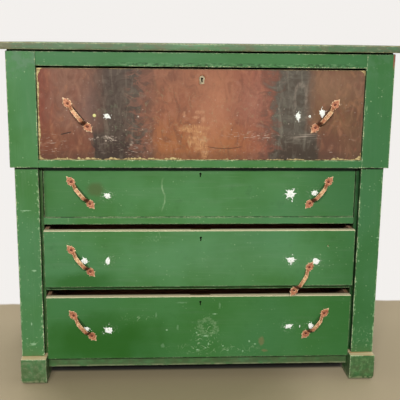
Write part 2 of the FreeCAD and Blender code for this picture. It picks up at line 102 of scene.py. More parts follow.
def colour_property(name, description, default):
    """A colour that a user can change."""
    return bpy.props.FloatVectorProperty(name=name, description=description, default=default,
                                         subtype="COLOR_GAMMA", min=0, max=1)


def number_property(name, description, default, **settings):
    """A number that a user can change."""
    return bpy.props.FloatProperty(name=name, description=description, default=default, **settings)


def length_property(name, description, default):
    """A length that a user can change."""
    return number_property(name, description, default, min=0, unit="LENGTH", precision=4)


class DresserSizes(bpy.types.PropertyGroup):
    """Sizes of the worn shapes that the boards and pulls get."""

    board_step: length_property("Board step", "Space between the points of a board's face", 9 * mm)
    edge_rounding: length_property("Edge rounding", "Usual radius of a worn edge", 1.5 * mm)
    top_rounding: length_property("Top rounding", "Radius of the top board's edges", 4.5 * mm)
    chip_depth: length_property("Chip depth", "How much further a chipped edge is worn off", 2.6 * mm)
    chip_length: length_property("Chip length", "Length of a chip along its edge", 16 * mm)
    board_warp: length_property("Board warp", "How far a board's face is out of true", 0.25 * mm)
    veneer_corner: length_property("Veneer corner", "Radius of the worn corners of the veneer", 23 * mm)
    foot_rounding: length_property("Foot rounding", "Radius of the feet's lower edges", 16 * mm)
    pull_voxel: length_property("Pull voxel", "Fineness of the cast pulls", 0.75 * mm)
    pull_hammer: length_property("Pull hammering", "Depth of the uneven cast surface", 0.22 * mm)
    pull_rim: length_property("Pull rim", "Width of the raised rim round a pull", 3.4 * mm)
    dish_depth: length_property("Dish depth", "Depth of the dished seat round a screw", 0.7 * mm)
    dish_radius: length_property("Dish radius", "Radius of the dished seat round a screw", 5.2 * mm)
    screw_radius: length_property("Screw radius", "Radius of a screw's shank", 2 * mm)
    screw_head: length_property("Screw head", "Radius of a screw's head", 3.7 * mm)
    screw_spacing: length_property("Screw spacing", "Distance between the two screws of a pull", 85 * mm)
    keyhole_head: length_property("Keyhole head", "Radius of a keyhole's round end", 3.4 * mm)
    keyhole_slot: length_property("Keyhole slot", "Width of a keyhole's slot", 3.2 * mm)
    keyhole_length: length_property("Keyhole length", "From the keyhole's centre to the slot's end", 10
                                    * mm)
    keyhole_lining: length_property("Keyhole lining", "Width of the top keyhole's lining", 4.9 * mm)
    filler_height: length_property("Filler height", "How far a dab of filler stands proud", 0.8 * mm)


class DresserColours(bpy.types.PropertyGroup):
    """Colours of the finishes, as they show on a screen."""

    green: colour_property("Green", "Usual green of the paint", tone(77, 127, 74))
    green_deep: colour_property("Deep green", "Where the paint lies thick or dark", tone(65, 114, 56))
    green_blue: colour_property("Blue green", "Cooler patches of the paint", tone(77, 126, 84))
    green_dusty: colour_property("Dusty green", "Rubbed and dusty paint", tone(98, 132, 94))
    green_pale: colour_property("Pale green", "Rubbed edges and scratches", tone(164, 190, 144))
    # Dark colour for dirt in the joints, also used as painted shade in keyholes, under the frieze and far
    # back on drawer tops.
    soot_and_shade: colour_property("Soot", "Dirt in corners and joints", tone(18, 26, 12))
    cream: colour_property("Cream", "Bare pale wood and old ground", tone(224, 208, 166))
    tan: colour_property("Tan", "Bare darker wood", tone(196, 158, 112))
    rust_wood: colour_property("Red wood", "Reddish bare edge", tone(140, 84, 66))
    veneer: colour_property("Veneer", "Middle of the veneered front", tone(146, 93, 67))
    veneer_red: colour_property("Red veneer", "Reddest part of the veneer", tone(122, 66, 50))
    veneer_mauve: colour_property("Mauve veneer", "Bloomed part of the veneer", tone(130, 92, 74))
    veneer_brown: colour_property("Brown veneer", "Brown right part of the veneer", tone(116, 84, 58))
    plume: colour_property("Plume", "Dark feathered figure of the veneer", tone(78, 68, 58))
    plume_dark: colour_property("Dark plume", "Darkest part of the figure", tone(50, 40, 34))
    plume_streak: colour_property("Plume streak", "Light streaks in the figure", tone(112, 101, 86))
    softwood: colour_property("Softwood", "Drawer sides, backs and bottoms", tone(176, 140, 112))
    softwood_dark: colour_property("Dark softwood", "Grain lines of the softwood", tone(128, 92, 66))
    back_wood: colour_property("Back wood", "Rough boards at the back", tone(150, 118, 86))
    copper: colour_property("Copper", "Base colour of the pulls", tone(190, 126, 82))
    copper_dark: colour_property("Dark copper", "Tarnish in the hollows of the pulls", tone(88, 44, 28))
    copper_pale: colour_property("Pale copper", "Rubbed edges of the pulls", tone(240, 214, 168))
    rust: colour_property("Rust", "Screw heads", tone(132, 70, 50))
    brass: colour_property("Brass", "Lock plates", tone(126, 102, 62))
    bone: colour_property("Bone", "Lining of the top keyhole", tone(176, 158, 122))
    filler: colour_property("Filler", "White wood filler", tone(252, 252, 244))
    floor: colour_property("Floor", "Studio floor", tone(182, 165, 134))
    floor_bounce: colour_property("Floor bounce", "What the floor throws back on the chest",
                                  tone(70, 66, 58))


class DresserLight(bpy.types.PropertyGroup):
    """Camera and studio light."""

    camera_x: number_property("Camera X", "Camera place across", -0.12743, unit="LENGTH")
    camera_y: number_property("Camera Y", "Camera place in front", -2.37506, unit="LENGTH")
    camera_z: number_property("Camera height", "Camera above the floor", 1.0246, unit="LENGTH")
    camera_turn: number_property("Camera turn", "Turn to the right", 0.0577, unit="ROTATION")
    camera_drop: number_property("Camera drop", "Tilt below level", 0.20992, unit="ROTATION")
    camera_roll: number_property("Camera roll", "Roll of the picture", 0.01093, unit="ROTATION")
    camera_lens: number_property("Lens", "Focal length in millimetres", 67.07, min=1)
    key_power: number_property("Key power", "Lamp in front, in watts", 330, min=0)
    key_length: number_property("Key length", "Length of the lamp across", 2.6, unit="LENGTH")
    key_width: number_property("Key width", "Height of the lamp", 0.5, unit="LENGTH")
    sky_low: number_property("Low sky", "Light from all round, near the floor", 0.025, min=0)
    sky_high: number_property("High sky", "Light added from overhead", 0.30, min=0)
    sky_behind: number_property("Sky behind", "Light added from the ends and behind", 0.55, min=0)


# Numbers and meshes

def value_noise(points, cell, seed):
    """Smooth random numbers from 0 to 1 that change over about one cell, in metres."""
    places = points / cell + seed * SEED_SHIFT
    base = np.floor(places)
    part = places - base
    part = part * part * (3 - 2 * part)
    total = np.zeros(len(points))
    for corner in itertools.product((0, 1), repeat=3):
        hashed = np.sin((base + corner) @ NOISE_WEAVE) * NOISE_SPREAD
        share = np.prod(np.where(np.array(corner) > 0, part, 1 - part), axis=1)
        total += (hashed - np.floor(hashed)) * share
    return total


def board_lines(low, high, rounding, step):
    """Places along one axis of a board, close together at both rounded ends."""
    near = rounding * np.array((0, 0.3, 0.65, 1, 1.8, 3))
    near = near[near < (high - low) / 2]
    inner_low, inner_high = low + near[-1], high - near[-1]
    count = max(1, round((inner_high - inner_low) / step))
    inner = np.linspace(inner_low, inner_high, count + 1)[1:-1]
    return np.unique(np.concatenate((low + near, inner, high - near)))


def block_shell(lines):
    """Points and outward quads of a block's surface on the given places along each axis."""
    counts = [len(line) for line in lines]
    grid = np.indices(counts)
    outside = np.zeros(counts, bool)
    for axis in range(3):
        outside |= (grid[axis] == 0) | (grid[axis] == counts[axis] - 1)
    index = np.zeros(counts, int)
    index[outside] = np.arange(outside.sum())
    points = np.stack([lines[axis][grid[axis][outside]] for axis in range(3)], axis=1)
    quads = []
    for axis, end in itertools.product(range(3), (0, -1)):
        sheet = np.take(index, end, axis=axis)
        face = np.stack((sheet[:-1, :-1], sheet[1:, :-1], sheet[1:, 1:], sheet[:-1, 1:]), axis=-1)
        face = face.reshape(-1, 4)
        quads.append(face if (end == -1) != (axis == 1) else face[:, ::-1])
    return points, np.concatenate(quads)


def worn_block(low, high, rounding, seed, chips=1.0):
    """Points and quads of a board with uneven rounded edges, chips and a face a little out of true."""
    sizes = bpy.context.scene.dresser_sizes
    low, high = np.array(low), np.array(high)
    lines = [board_lines(low[axis], high[axis], rounding, sizes.board_step) for axis in range(3)]
    points, quads = block_shell(lines)
    worn = 0.5 + 1.0 * value_noise(points, 3 * sizes.chip_length, seed)
    chipped = np.clip(value_noise(points, sizes.chip_length, seed + 1) - CHIP_START, 0, 1) / (1
                                                                                              - CHIP_START)
    radius = rounding * worn + chips * sizes.chip_depth * chipped
    radius = np.minimum(radius, ROUNDING_SHARE * (high - low).min())[:, None]
    centre = np.clip(points, low + radius, high - radius)
    outward = points - centre
    outward /= np.linalg.norm(outward, axis=1)[:, None]
    warp = sizes.board_warp * value_noise(points, WARP_CELL, seed + 2)[:, None]
    return centre + outward * (radius - warp), quads


def wear_measures(points, low, high, axes):
    """Distance to the nearest worn edge, depth below the nearest face, and depth behind the front."""
    reach = np.minimum(points - low, high - points)
    chosen = np.sort(np.maximum(reach[:, axes], 0), axis=1)
    return {"edge": chosen[:, 1], "chip": chosen[:, 0], "behind": points[:, 1] - low[1]}


def store(mesh, measures):
    """Keep a measure of each point on the mesh for its finish."""
    for name, values in measures.items():
        attribute = mesh.attributes.get(name) or mesh.attributes.new(name, "FLOAT", "POINT")
        attribute.data.foreach_set("value", np.asarray(values, np.float32))


def mesh_points(mesh):
    """Places of a mesh's points."""
    flat = np.zeros(len(mesh.vertices) * 3)
    mesh.vertices.foreach_get("co", flat)
    return flat.reshape(-1, 3)


def move_points(mesh, points):
    """Give a mesh's points new places."""
    mesh.vertices.foreach_set("co", points.ravel())
    mesh.update()


def new_piece(name, points, faces, material=None):
    """Mesh object with smooth faces and sharp creases."""
    mesh = bpy.data.meshes.new(name)
    mesh.from_pydata(np.asarray(points).tolist(), [], [list(face) for face in faces])
    mesh.update()
    piece = bpy.data.objects.new(name, mesh)
    bpy.context.scene.collection.objects.link(piece)
    finish_mesh(piece, material)
    return piece


def finish_mesh(piece, material):
    """Smooth shading with sharp creases, and one material."""
    piece.data.shade_smooth()
    piece.data.set_sharp_from_angle(angle=SHARP_ANGLE)
    if material:
        piece.data.materials.clear()
        piece.data.materials.append(material)


def put_on(piece, body, slot, *nodes):
    """Let a piece move with its body and stand for the model's own nodes."""
    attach(piece, body)
    if nodes:
        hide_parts(*nodes)
    return piece


def rail_piece(name, low, high, material, seed):
    """Worn rail with the mortise that a raised lock bolt enters, where the model has one."""
    points, quads = worn_block(low, high, bpy.context.scene.dresser_sizes.edge_rounding, seed)
    piece = new_piece("worn_" + name, points, quads)
    corners = [vertex.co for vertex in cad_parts[name].data.vertices if abs(vertex.co.x) < MIDDLE_SPAN]
    if corners:
        room_low, room_high = np.min(corners, axis=0), np.max(corners, axis=0)
        room_low[2] = low[2] - OVERRUN
        room, faces = block_shell(np.stack((room_low, room_high), axis=1))
        cut_out(piece, [new_piece("mortise", room, faces)])
    finish_mesh(piece, material)
    store(piece.data, wear_measures(mesh_points(piece.data), np.array(low), np.array(high), (1, 2)))
    return put_on(piece, "case", "case_paint", name)


def boards_piece(node, boxes, axes, material, seed, slot="case_paint", rounding=None):
    """One piece of the case made of worn boards, which stands for a node."""
    sizes = bpy.context.scene.dresser_sizes
    all_points, all_quads, measures, count = [], [], [], 0
    for number, (low, high) in enumerate(boxes):
        points, quads = worn_block(low, high, rounding or sizes.edge_rounding, seed + 5 * number)
        measures.append(wear_measures(points, np.array(low), np.array(high), axes))
        measures[-1]["tint"] = np.full(len(points), number * GOLDEN_SHARE % 1)
        all_points.append(points)
        all_quads.append(quads + count)
        count += len(points)
    piece = new_piece("worn_" + node, np.concatenate(all_points), np.concatenate(all_quads), material)
    store(piece.data, {key: np.concatenate([part[key] for part in measures]) for key in measures[0]})
    return put_on(piece, "case", slot, node)


def welded_copy(node, name):
    """Closed copy of a node's mesh, as an object of its own."""
    mesh = bpy.data.meshes.new(name)
    tool = bmesh.new()
    tool.from_mesh(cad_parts[node].data)
    bmesh.ops.remove_doubles(tool, verts=tool.verts, dist=WELD)
    tool.to_mesh(mesh)
    tool.free()
    piece = bpy.data.objects.new(name, mesh)
    bpy.context.scene.collection.objects.link(piece)
    return piece


def solid_boxes(node):
    """Lowest and highest corner of each solid of a node, from left to right and then upwards."""
    tool = bmesh.new()
    tool.from_mesh(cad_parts[node].data)
    bmesh.ops.remove_doubles(tool, verts=tool.verts, dist=WELD)
    waiting, boxes = set(tool.verts), []
    while waiting:
        group, front = [], [waiting.pop()]
        while front:
            vertex = front.pop()
            group.append(vertex.co.copy())
            for edge in vertex.link_edges:
                other = edge.other_vert(vertex)
                if other in waiting:
                    waiting.remove(other)
                    front.append(other)
        places = np.array(group)
        boxes.append((places.min(axis=0), places.max(axis=0)))
    tool.free()
    return sorted(boxes, key=lambda box: (round(box[0][0], 3), round(box[0][2], 3)))


def keep_modifiers(piece):
    """Turn a piece's modifiers into its mesh."""
    shown = piece.evaluated_get(bpy.context.evaluated_depsgraph_get())
    mesh = bpy.data.meshes.new_from_object(shown)
    piece.modifiers.clear()
    piece.data = mesh


def cut_out(piece, cutters):
    """Take the room of the cutters out of a piece, and remove them."""
    for cutter in cutters:
        modifier = piece.modifiers.new("cut", "BOOLEAN")
        modifier.operation = "DIFFERENCE"
        modifier.solver = "EXACT"
        modifier.object = cutter
    keep_modifiers(piece)
    for cutter in cutters:
        bpy.data.objects.remove(cutter)


def prism(name, corners, y_low, y_high):
    """Closed prism along Y over corners given anticlockwise in X and Z as seen from the front."""
    count = len(corners)
    points = [(x, y, z) for y in (y_low, y_high) for x, z in corners]
    faces = [tuple(range(count)), tuple(range(2 * count - 1, count - 1, -1))]
    for index in range(count):
        following = (index + 1) % count
        faces.append((following, index, index + count, following + count))
    return new_piece(name, points, faces)


def circle(x, z, radius, start=0.0, turn=math.tau, count=24):
    """Points on an arc in X and Z, anticlockwise as seen from the front."""
    whole = abs(turn - math.tau) < 1e-6
    angles = np.linspace(start, start + turn, count, endpoint=not whole)
    return [(x + radius * math.cos(angle), z + radius * math.sin(angle)) for angle in angles]


def fan_faces(turns, rings, closed):
    """Faces between rings of points round a first point, and round a last point if they close there."""
    faces = []
    for index in range(turns):
        following = (index + 1) % turns
        faces.append((0, 1 + index, 1 + following))
        for ring in range(rings - 1):
            start = 1 + ring * turns
            faces.append((start + index, start + turns + index, start + turns + following, start
                          + following))
        if closed:
            last = 1 + (rings - 1) * turns
            faces.append((last + following, last + index, last + turns))
    return faces


def keyhole_corners(x, z, grow):
    """Outline of a keyhole that hangs from its round end, grown all round."""
    sizes = bpy.context.scene.dresser_sizes
    radius = sizes.keyhole_head + grow
    half = sizes.keyhole_slot / 2 + grow
    foot = z - sizes.keyhole_length - grow
    opening = math.asin(half / radius)
    arc = circle(x, z, radius, -math.pi / 2 + opening, math.tau - 2 * opening)
    return arc + [(x - half, foot), (x + half, foot)]


# Finishes

def linear(colour):
    """Screen colour as linear light, with full cover."""
    parts = [part / 12.92 if part <= 0.04045 else ((part + 0.055) / 1.055) ** 2.4 for part in colour]
    return (*parts, 1.0)


def pigment(colour):
    """What a colour socket takes for a field, for the name of a colour property or for 8-bit steps."""
    if isinstance(colour, Field):
        return colour
    if isinstance(colour, str):
        return linear(getattr(bpy.context.scene.dresser_colours, colour))
    return linear(tone(*colour))


def arithmetic(operation):
    """A method of a field that puts one arithmetic node behind it."""
    return lambda field, *others: field.nodes.math(operation, field, *others)


class Field:
    """A value or colour that varies from place to place, with arithmetic that adds nodes to its tree.

    The upright bar takes the larger of two values, as for masks that overlap.
    """

    __add__ = arithmetic("ADD")
    __sub__ = arithmetic("SUBTRACT")
    __mul__ = arithmetic("MULTIPLY")
    __truediv__ = arithmetic("DIVIDE")
    __pow__ = arithmetic("POWER")
    __or__ = arithmetic("MAXIMUM")
    __abs__ = arithmetic("ABSOLUTE")
    root = arithmetic("SQRT")
    sine = arithmetic("SINE")

    def __init__(self, nodes, socket):
        self.nodes = nodes
        self.socket = socket

    def swing(self, amount):
        """This noise stretched to the given width and centred on zero."""
        return self.nodes.math("MULTIPLY_ADD", self, amount, -amount / 2)

    def step(self, low, high, at_low=0.0, at_high=1.0):
        """Soft step from one value to another while this one goes from low to high."""
        node = self.nodes.add("ShaderNodeMapRange", interpolation_type="SMOOTHSTEP")
        for socket, value in zip(node.inputs, (self, low, high, at_low, at_high)):
            self.nodes.feed(socket, value)
        return Field(self.nodes, node.outputs[0])

    def fade(self, low, high):
        """Soft step from one down to zero while this one goes from low to high."""
        return self.step(low, high, 1.0, 0.0)

    def coat(self, share, over):
        """This colour with some of another one over it."""
        return self.nodes.mix(share, self, over)


class Nodes:
    """The nodes of one tree."""

    def __init__(self, tree):
        self.tree = tree

    def add(self, kind, **settings):
        """A new node with its settings."""
        node = self.tree.nodes.new(kind)
        for key, value in settings.items():
            setattr(node, key, value)
        return node

    def feed(self, socket, value):
        """A link from a field, or a constant."""
        if isinstance(value, Field):
            self.tree.links.new(value.socket, socket)
        else:
            socket.default_value = value

    def math(self, operation, *values):
        """One step of arithmetic."""
        node = self.add("ShaderNodeMath", operation=operation)
        for socket, value in zip(node.inputs, values):
            self.feed(socket, value)
        return Field(self, node.outputs[0])

    def mix(self, share, first, second):
        """Colour between two colours."""
        node = self.add("ShaderNodeMix", data_type="RGBA")
        for index, value in ((0, share), (6, pigment(first)), (7, pigment(second))):
            self.feed(node.inputs[index], value)
        return Field(self, node.outputs[2])

    def axes(self, vector):
        """The X, Y and Z parts of a vector."""
        node = self.add("ShaderNodeSeparateXYZ")
        self.feed(node.inputs[0], vector)
        return [Field(self, socket) for socket in node.outputs]

    def vector(self, *parts):
        """A vector from its X, Y and Z parts."""
        node = self.add("ShaderNodeCombineXYZ")
        for socket, part in zip(node.inputs, parts):
            self.feed(socket, part)
        return Field(self, node.outputs[0])

    def seen_directly(self):
        """One for what the camera, a reflection or glass shows, and none for light on the object."""
        path = self.add("ShaderNodeLightPath")
        camera, glossy, glass = (Field(self, path.outputs["Is %s Ray" % kind])
                                 for kind in ("Camera", "Glossy", "Transmission"))
        return camera | glossy | glass

    def blend(self, share, first, second, output):
        """Send a blend of two shaders to the output."""
        node = self.add("ShaderNodeMixShader")
        self.feed(node.inputs[0], share)
        self.tree.links.new(first.outputs[0], node.inputs[1])
        self.tree.links.new(second.outputs[0], node.inputs[2])
        self.tree.links.new(node.outputs[0], output.inputs["Surface"])


class Finish(Nodes):
    """A node material put together from noise, blots, wear measures and mixed colours."""

    def __init__(self, name):
        self.material = bpy.data.materials.new(name)
        self.material.use_nodes = True
        super().__init__(self.material.node_tree)
        self.tree.nodes.clear()
        coordinates = self.add("ShaderNodeTexCoord")
        self.place = Field(self, coordinates.outputs["Object"])
        self.facing = Field(self, coordinates.outputs["Normal"])
        self.x, self.y, self.z = self.axes(self.place)

    def stretched(self, stretch, shift):
        """Place, drawn out along the axes and moved."""
        node = self.add("ShaderNodeMapping")
        self.feed(node.inputs["Vector"], self.place)
        node.inputs["Location"].default_value = (shift, shift / 2, -shift)
        node.inputs["Scale"].default_value = [1 / part for part in stretch]
        return Field(self, node.outputs[0])

    def noise(self, cell, stretch=(1, 1, 1), detail=2.0, rough=0.5, twist=0.0, seed=0, place=None):
        """Noise around one half whose lumps are about one cell wide, in metres."""
        node = self.add("ShaderNodeTexNoise")
        self.feed(node.inputs["Vector"], place or self.stretched(stretch, seed * 1.7))
        for name, value in (("Scale", 1 / cell), ("Detail", detail), ("Roughness", rough),
                            ("Distortion", twist)):
            node.inputs[name].default_value = value
        return Field(self, node.outputs["Fac"])

    def specks(self, cell, size, stretch=(1, 1, 1), seed=0):
        """Small separate marks, one at most in each cell, smaller than size."""
        node = self.add("ShaderNodeTexVoronoi", feature="F1")
        self.feed(node.inputs["Vector"], self.stretched(stretch, seed * 1.3))
        node.inputs["Scale"].default_value = 1 / cell
        near = Field(self, node.outputs["Distance"]).fade(0.4 * size / cell, size / cell)
        chosen = self.add("ShaderNodeSeparateColor")
        self.tree.links.new(node.outputs["Color"], chosen.inputs[0])
        return near * Field(self, chosen.outputs[0]).step(0.62, 0.7)

    def measure(self, name):
        """A measure kept on the mesh."""
        return Field(self, self.add("ShaderNodeAttribute", attribute_name=name).outputs["Fac"])

    def blot(self, x, z, half_x, half_z, soft=0.5, ragged=0.0, wander=None):
        """Mask of an upright oval at a place on the front, with an uneven rim."""
        across = (self.x - x) / half_x
        along = (self.z - z) / half_z
        radius = (abs(across) ** 2.0 + abs(along) ** 2.0).root()
        if wander is not None:
            radius = radius + wander.swing(2 * ragged)
        return radius.fade(1 - soft, 1 + soft)

    def blots(self, wander, *rows):
        """The strongest of several blots with one uneven noise for their rims."""
        masks = [self.blot(*row, wander) for row in rows]
        strongest = masks[0]
        for mask in masks[1:]:
            strongest = strongest | mask
        return strongest

    def surface(self, colour, roughness, height=None, depth=0.2 * mm, **constants):
        """Join the finish to its surface and return the material."""
        self.shader = self.add("ShaderNodeBsdfPrincipled")
        self.feed(self.shader.inputs["Base Color"], colour)
        self.feed(self.shader.inputs["Roughness"], roughness)
        for key, value in constants.items():
            self.feed(self.shader.inputs[key.replace("_", " ")], value)
        if height is not None:
            bump = self.add("ShaderNodeBump")
            bump.inputs["Distance"].default_value = depth
            bump.inputs["Strength"].default_value = 1.0
            self.feed(bump.inputs["Height"], height)
            self.tree.links.new(bump.outputs[0], self.shader.inputs["Normal"])
        self.output = self.add("ShaderNodeOutputMaterial")
        self.tree.links.new(self.shader.outputs[0], self.output.inputs["Surface"])
        return self.material


def draw_out(axis, amount):
    """Stretch along one axis, for grain and brush marks."""
    return tuple(amount if axis == part else 1 for part in "XYZ")


def green_coat(finish, along):
    """Colour, roughness and height of old glossy green paint, brushed along one axis, with painted shade
    towards the right end.
    """
    cloud = finish.noise(0.15, detail=3, seed=1)
    patch = finish.noise(0.34, seed=2)
    brush = finish.noise(2.6 * mm, draw_out(along, 40), seed=3)
    broad_brush = finish.noise(16 * mm, draw_out(along, 9), detail=3, seed=4)
    grit = finish.noise(1.6 * mm, seed=5)
    colour = finish.mix(cloud.step(0.32, 0.68), "green_deep", "green")
    colour = colour.coat(patch.step(0.46, 0.66, 0, 0.5), "green_blue")
    dusty = broad_brush.step(0.5, 0.74, 0, 0.22)
    colour = colour.coat(dusty, "green_dusty")
    colour = colour.coat(brush.step(0.58, 0.72, 0, 0.05), "green_pale")
    dim = finish.noise(28 * mm, detail=4, rough=0.62, seed=6).step(0.56, 0.76, 0, 0.12)
    colour = colour.coat(dim, "soot_and_shade")
    # Painted shade: the paint turns darker towards the right end, where less light falls.
    colour = colour.coat(finish.x.step(0.26, 0.5, 0, 0.5), (42, 94, 50))
    rough = broad_brush.step(0.3, 0.7, 0.36, 0.46)
    height = brush * 0.1 + (broad_brush * 0.3 + grit * 0.1)
    return colour, rough, height


def scuffs(finish, colour, strength=1):
    """Small pale nicks and scratches over a coat of paint."""
    nicks = finish.specks(26 * mm, 2.1 * mm, seed=11)
    scratches = finish.specks(30 * mm, 1.6 * mm, (1, 1, 7), seed=12)
    slant = finish.specks(34 * mm, 1.5 * mm, (5, 1, 1.2), seed=13)
    small = finish.specks(10 * mm, 1.7 * mm, seed=15)
    marks = nicks | scratches * 0.6 | slant * 0.6 | small * 0.75
    marks = marks * finish.noise(0.09, seed=14).step(0.42, 0.62) * strength
    return colour.coat(marks, "green_pale"), marks


def worn_edges(finish, colour, rub=1, bare=1, seam=0.6):
    """Dirt along the joints, then rubbed pale paint and bare wood in places along the edges."""
    edge = finish.measure("edge")
    chip = finish.measure("chip")
    fine = finish.noise(5 * mm, detail=4, rough=0.65, seed=21)
    places = finish.noise(38 * mm, detail=4, rough=0.6, seed=22)
    ragged = fine.swing(-8 * mm)
    reach = edge + ragged
    dirt = edge + fine.swing(-1.6 * mm)
    dirty = dirt.step(0.8 * mm, 2.4 * mm, seam, 0)
    speckle = finish.noise(3.4 * mm, detail=3, seed=24).step(0.56, 0.62)
    dots = edge.fade(2 * mm, 4.4 * mm) * speckle * places.step(0.4, 0.54) * min(1, rub)
    rubbed = reach.fade(0.8 * mm, 2.6 * mm) * places.step(0.42, 0.58, 0.12 * rub, rub)
    wood = (reach.fade(0.2 * mm, 1.2 * mm)
            * finish.noise(30 * mm, detail=4, seed=23).step(0.52, 0.6, 0, bare))
    chipped = chip.step(0.5 * mm, 1 * mm) * bare
    colour = colour.coat(dirty, "soot_and_shade")
    colour = colour.coat(rubbed, "green_pale")
    colour = colour.coat(dots, (200, 206, 156))
    wood_colour = finish.mix(fine.step(0.4, 0.6), "tan", "cream")
    colour = colour.coat(wood | chipped, wood_colour)
    return colour, rubbed | wood | chipped


def painted_wood(name, along, rub=1, bare=1, scuffed=1, seam=0.5, extra=None):
    """Finish of the green boards."""
    finish = Finish(name)
    colour, rough, height = green_coat(finish, along)
    colour, marks = scuffs(finish, colour, scuffed)
    if extra:
        colour = extra(finish, colour)
    colour, worn = worn_edges(finish, colour, rub, bare, seam)
    rough = rough | worn * 0.75
    height = height - (marks | worn) * 0.5
    return finish.surface(colour, rough, height, 0.35 * mm, Specular_IOR_Level=0.2)


def bare_wood(finish, light, dark, along):
    """Colour and height of unpainted softwood with its grain along one axis."""
    grain = finish.noise(7 * mm, draw_out(along, 22), detail=4, rough=0.6, twist=0.6, seed=31)
    pores = finish.noise(0.9 * mm, draw_out(along, 26), detail=1, seed=32)
    stain = finish.noise(0.11, detail=3, seed=33)
    colour = finish.mix(grain.step(0.38, 0.64), light, dark)
    colour = colour.coat(stain.step(0.5, 0.75, 0, 0.45), dark)
    colour = colour.coat(pores.step(0.6, 0.72, 0, 0.35), dark)
    height = grain * 0.6 + pores * 0.4
    return colour, height


def softwood(name, along, light="softwood", seams=0):
    """Finish of the boards inside and behind, with dirt in the seams between boards."""
    finish = Finish(name)
    colour, height = bare_wood(finish, light, "softwood_dark", along)
    if seams:
        fine = finish.noise(9 * mm, (3, 1, 1), detail=3, seed=110)
        edge = fine * (-5 * mm) + finish.measure("edge")
        tint = finish.measure("tint") * 0.5
        colour = colour.coat(tint, (100, 72, 50))
        colour = colour.coat(edge.step(-1.5 * mm, 3.5 * mm, seams, 0), (30, 22, 16))
        grey = finish.noise(0.1, (2, 1, 1), detail=4, rough=0.6, seed=112).step(0.46, 0.66, 0, 0.4)
        colour = colour.coat(grey, (128, 116, 98))
    return finish.surface(colour, 0.78, height, 0.3 * mm, Specular_IOR_Level=0.3)


def drawer_paint(number, key, extra=None):
    """Green paint on a drawer's face, and bare wood on the edges behind it, with painted shade far back on
    the top edge of the lower drawers.
    """
    finish = Finish("drawer_%d_paint" % number)
    colour, rough, height = green_coat(finish, "X")
    colour, _ = scuffs(finish, colour, 0.8)
    if extra:
        colour = extra(finish, colour)
    shares = {-1: 0.6} if number == 3 else {-1: 0.6, 1: 0.4}
    # Painted shadow beside the grips.
    colour = painted_grip_shadow(finish, colour, number, shares, (22, 44, 14))
    colour, _ = worn_edges(finish, colour, 0.35, 0.25, 0.65)
    wood, grain = bare_wood(finish, (240, 224, 186), (206, 172, 126), "X")
    ragged = finish.noise(9 * mm, detail=4, seed=41).swing(3.2 * mm)
    painted = (finish.measure("behind") + ragged).fade(0.9 * mm, 1.6 * mm)
    colour = finish.mix(painted, wood, colour)
    if number > 2:
        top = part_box("drawer_%d_front" % number)[1].z
        arris = (ragged * 0.6 + finish.z).step(top - 2.6 * mm, top - 1.6 * mm)
        colour = colour.coat(arris * 0.9, (214, 204, 166))
        # Painted shade on the top edge far back, under the rail above.
        shaded = finish.measure("behind").step(14 * mm, 20 * mm, 0, 0.8)
        colour = colour.coat(arris * shaded, "soot_and_shade")
    # Painted shade inside the keyhole.
    colour = colour.coat(keyhole_dark(finish, key), "soot_and_shade")
    rough = painted.step(0, 1, 0.75, rough)
    height = painted.step(0, 1, grain, height)
    return finish.surface(colour, rough, height, 0.25 * mm, Specular_IOR_Level=0.2)


def painted_grip_shadow(finish, colour, number, shares, shadow_tone):
    """Painted shadow on the face close beside the slanted grips, on the side towards the drawer's middle.
    """
    low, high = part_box("drawer_%d_pull_left" % number)
    up = finish.z - (low.z + high.z) / 2
    for hand, share in shares.items():
        across = (finish.x + hand * (low.x + high.x) / 2) * -hand
        beside = across * math.sin(PULL_LEAN) + up * math.cos(PULL_LEAN)
        along = across * math.cos(PULL_LEAN) - up * math.sin(PULL_LEAN)
        near = (beside.fade(4.5 * mm, 7.5 * mm) * beside.step(-8 * mm, -5 * mm)
                * abs(along).fade(26 * mm, 36 * mm))
        colour = colour.coat(near * share, shadow_tone)
    return colour


def keyhole_dark(finish, key):
    """Mask of painted shade inside a keyhole."""
    near = finish.blot(key[0], key[1] - 4 * mm, 8 * mm, 12 * mm, 0.1)
    return near * finish.measure("behind").step(0.6 * mm, 1.6 * mm)


def stains_and_shade_on_drawer_2(finish, colour):
    """Brown patch beside the left pull, a pale run down the front, darker ends, a painted shadow of the
    frieze along the top and painted shade along the left end.
    """
    wander = finish.noise(30 * mm, detail=3, seed=51)
    # Darker towards both ends.
    ends = abs(finish.x).step(0.18, 0.38, 0, 0.32)
    colour = colour.coat(ends, (50, 96, 42))
    brown = finish.blot(-0.311, 0.594, 0.023, 0.02, 0.4, 0.35, wander)
    colour = colour.coat(brown * 0.7, (78, 92, 50))
    # Painted shadow that the frieze casts along the top of the front, darkest at the very top.
    level = wander * (2 * mm) + finish.z
    colour = colour.coat(level.step(0.6495, 0.653, 0, 0.88), (12, 46, 22))
    colour = colour.coat(level.step(0.6545, 0.6575, 0, 0.95), (4, 10, 3))
    # Painted shade along the left end, beside the pilaster.
    shade = (finish.x + wander.swing(16 * mm)).step(-0.45, -0.462, 0, 0.5)
    colour = colour.coat(shade, (44, 66, 28))
    bend = (finish.z * 75).sine() * (4.5 * mm) + finish.noise(14 * mm, seed=53).swing(6 * mm)
    middle = finish.x + (bend + 0.111)
    run = abs(middle).fade(1 * mm, 3.4 * mm)
    run = (run * finish.z.step(0.634, 0.618) * finish.z.step(0.524, 0.545)
           * finish.noise(20 * mm, seed=54).step(0.35, 0.6, 0.16, 0.42))
    colour = colour.coat(run, "green_pale")
    return splashes(finish, colour, ((-0.276, 0.576), (0.268, 0.582), (0.341, 0.584)))


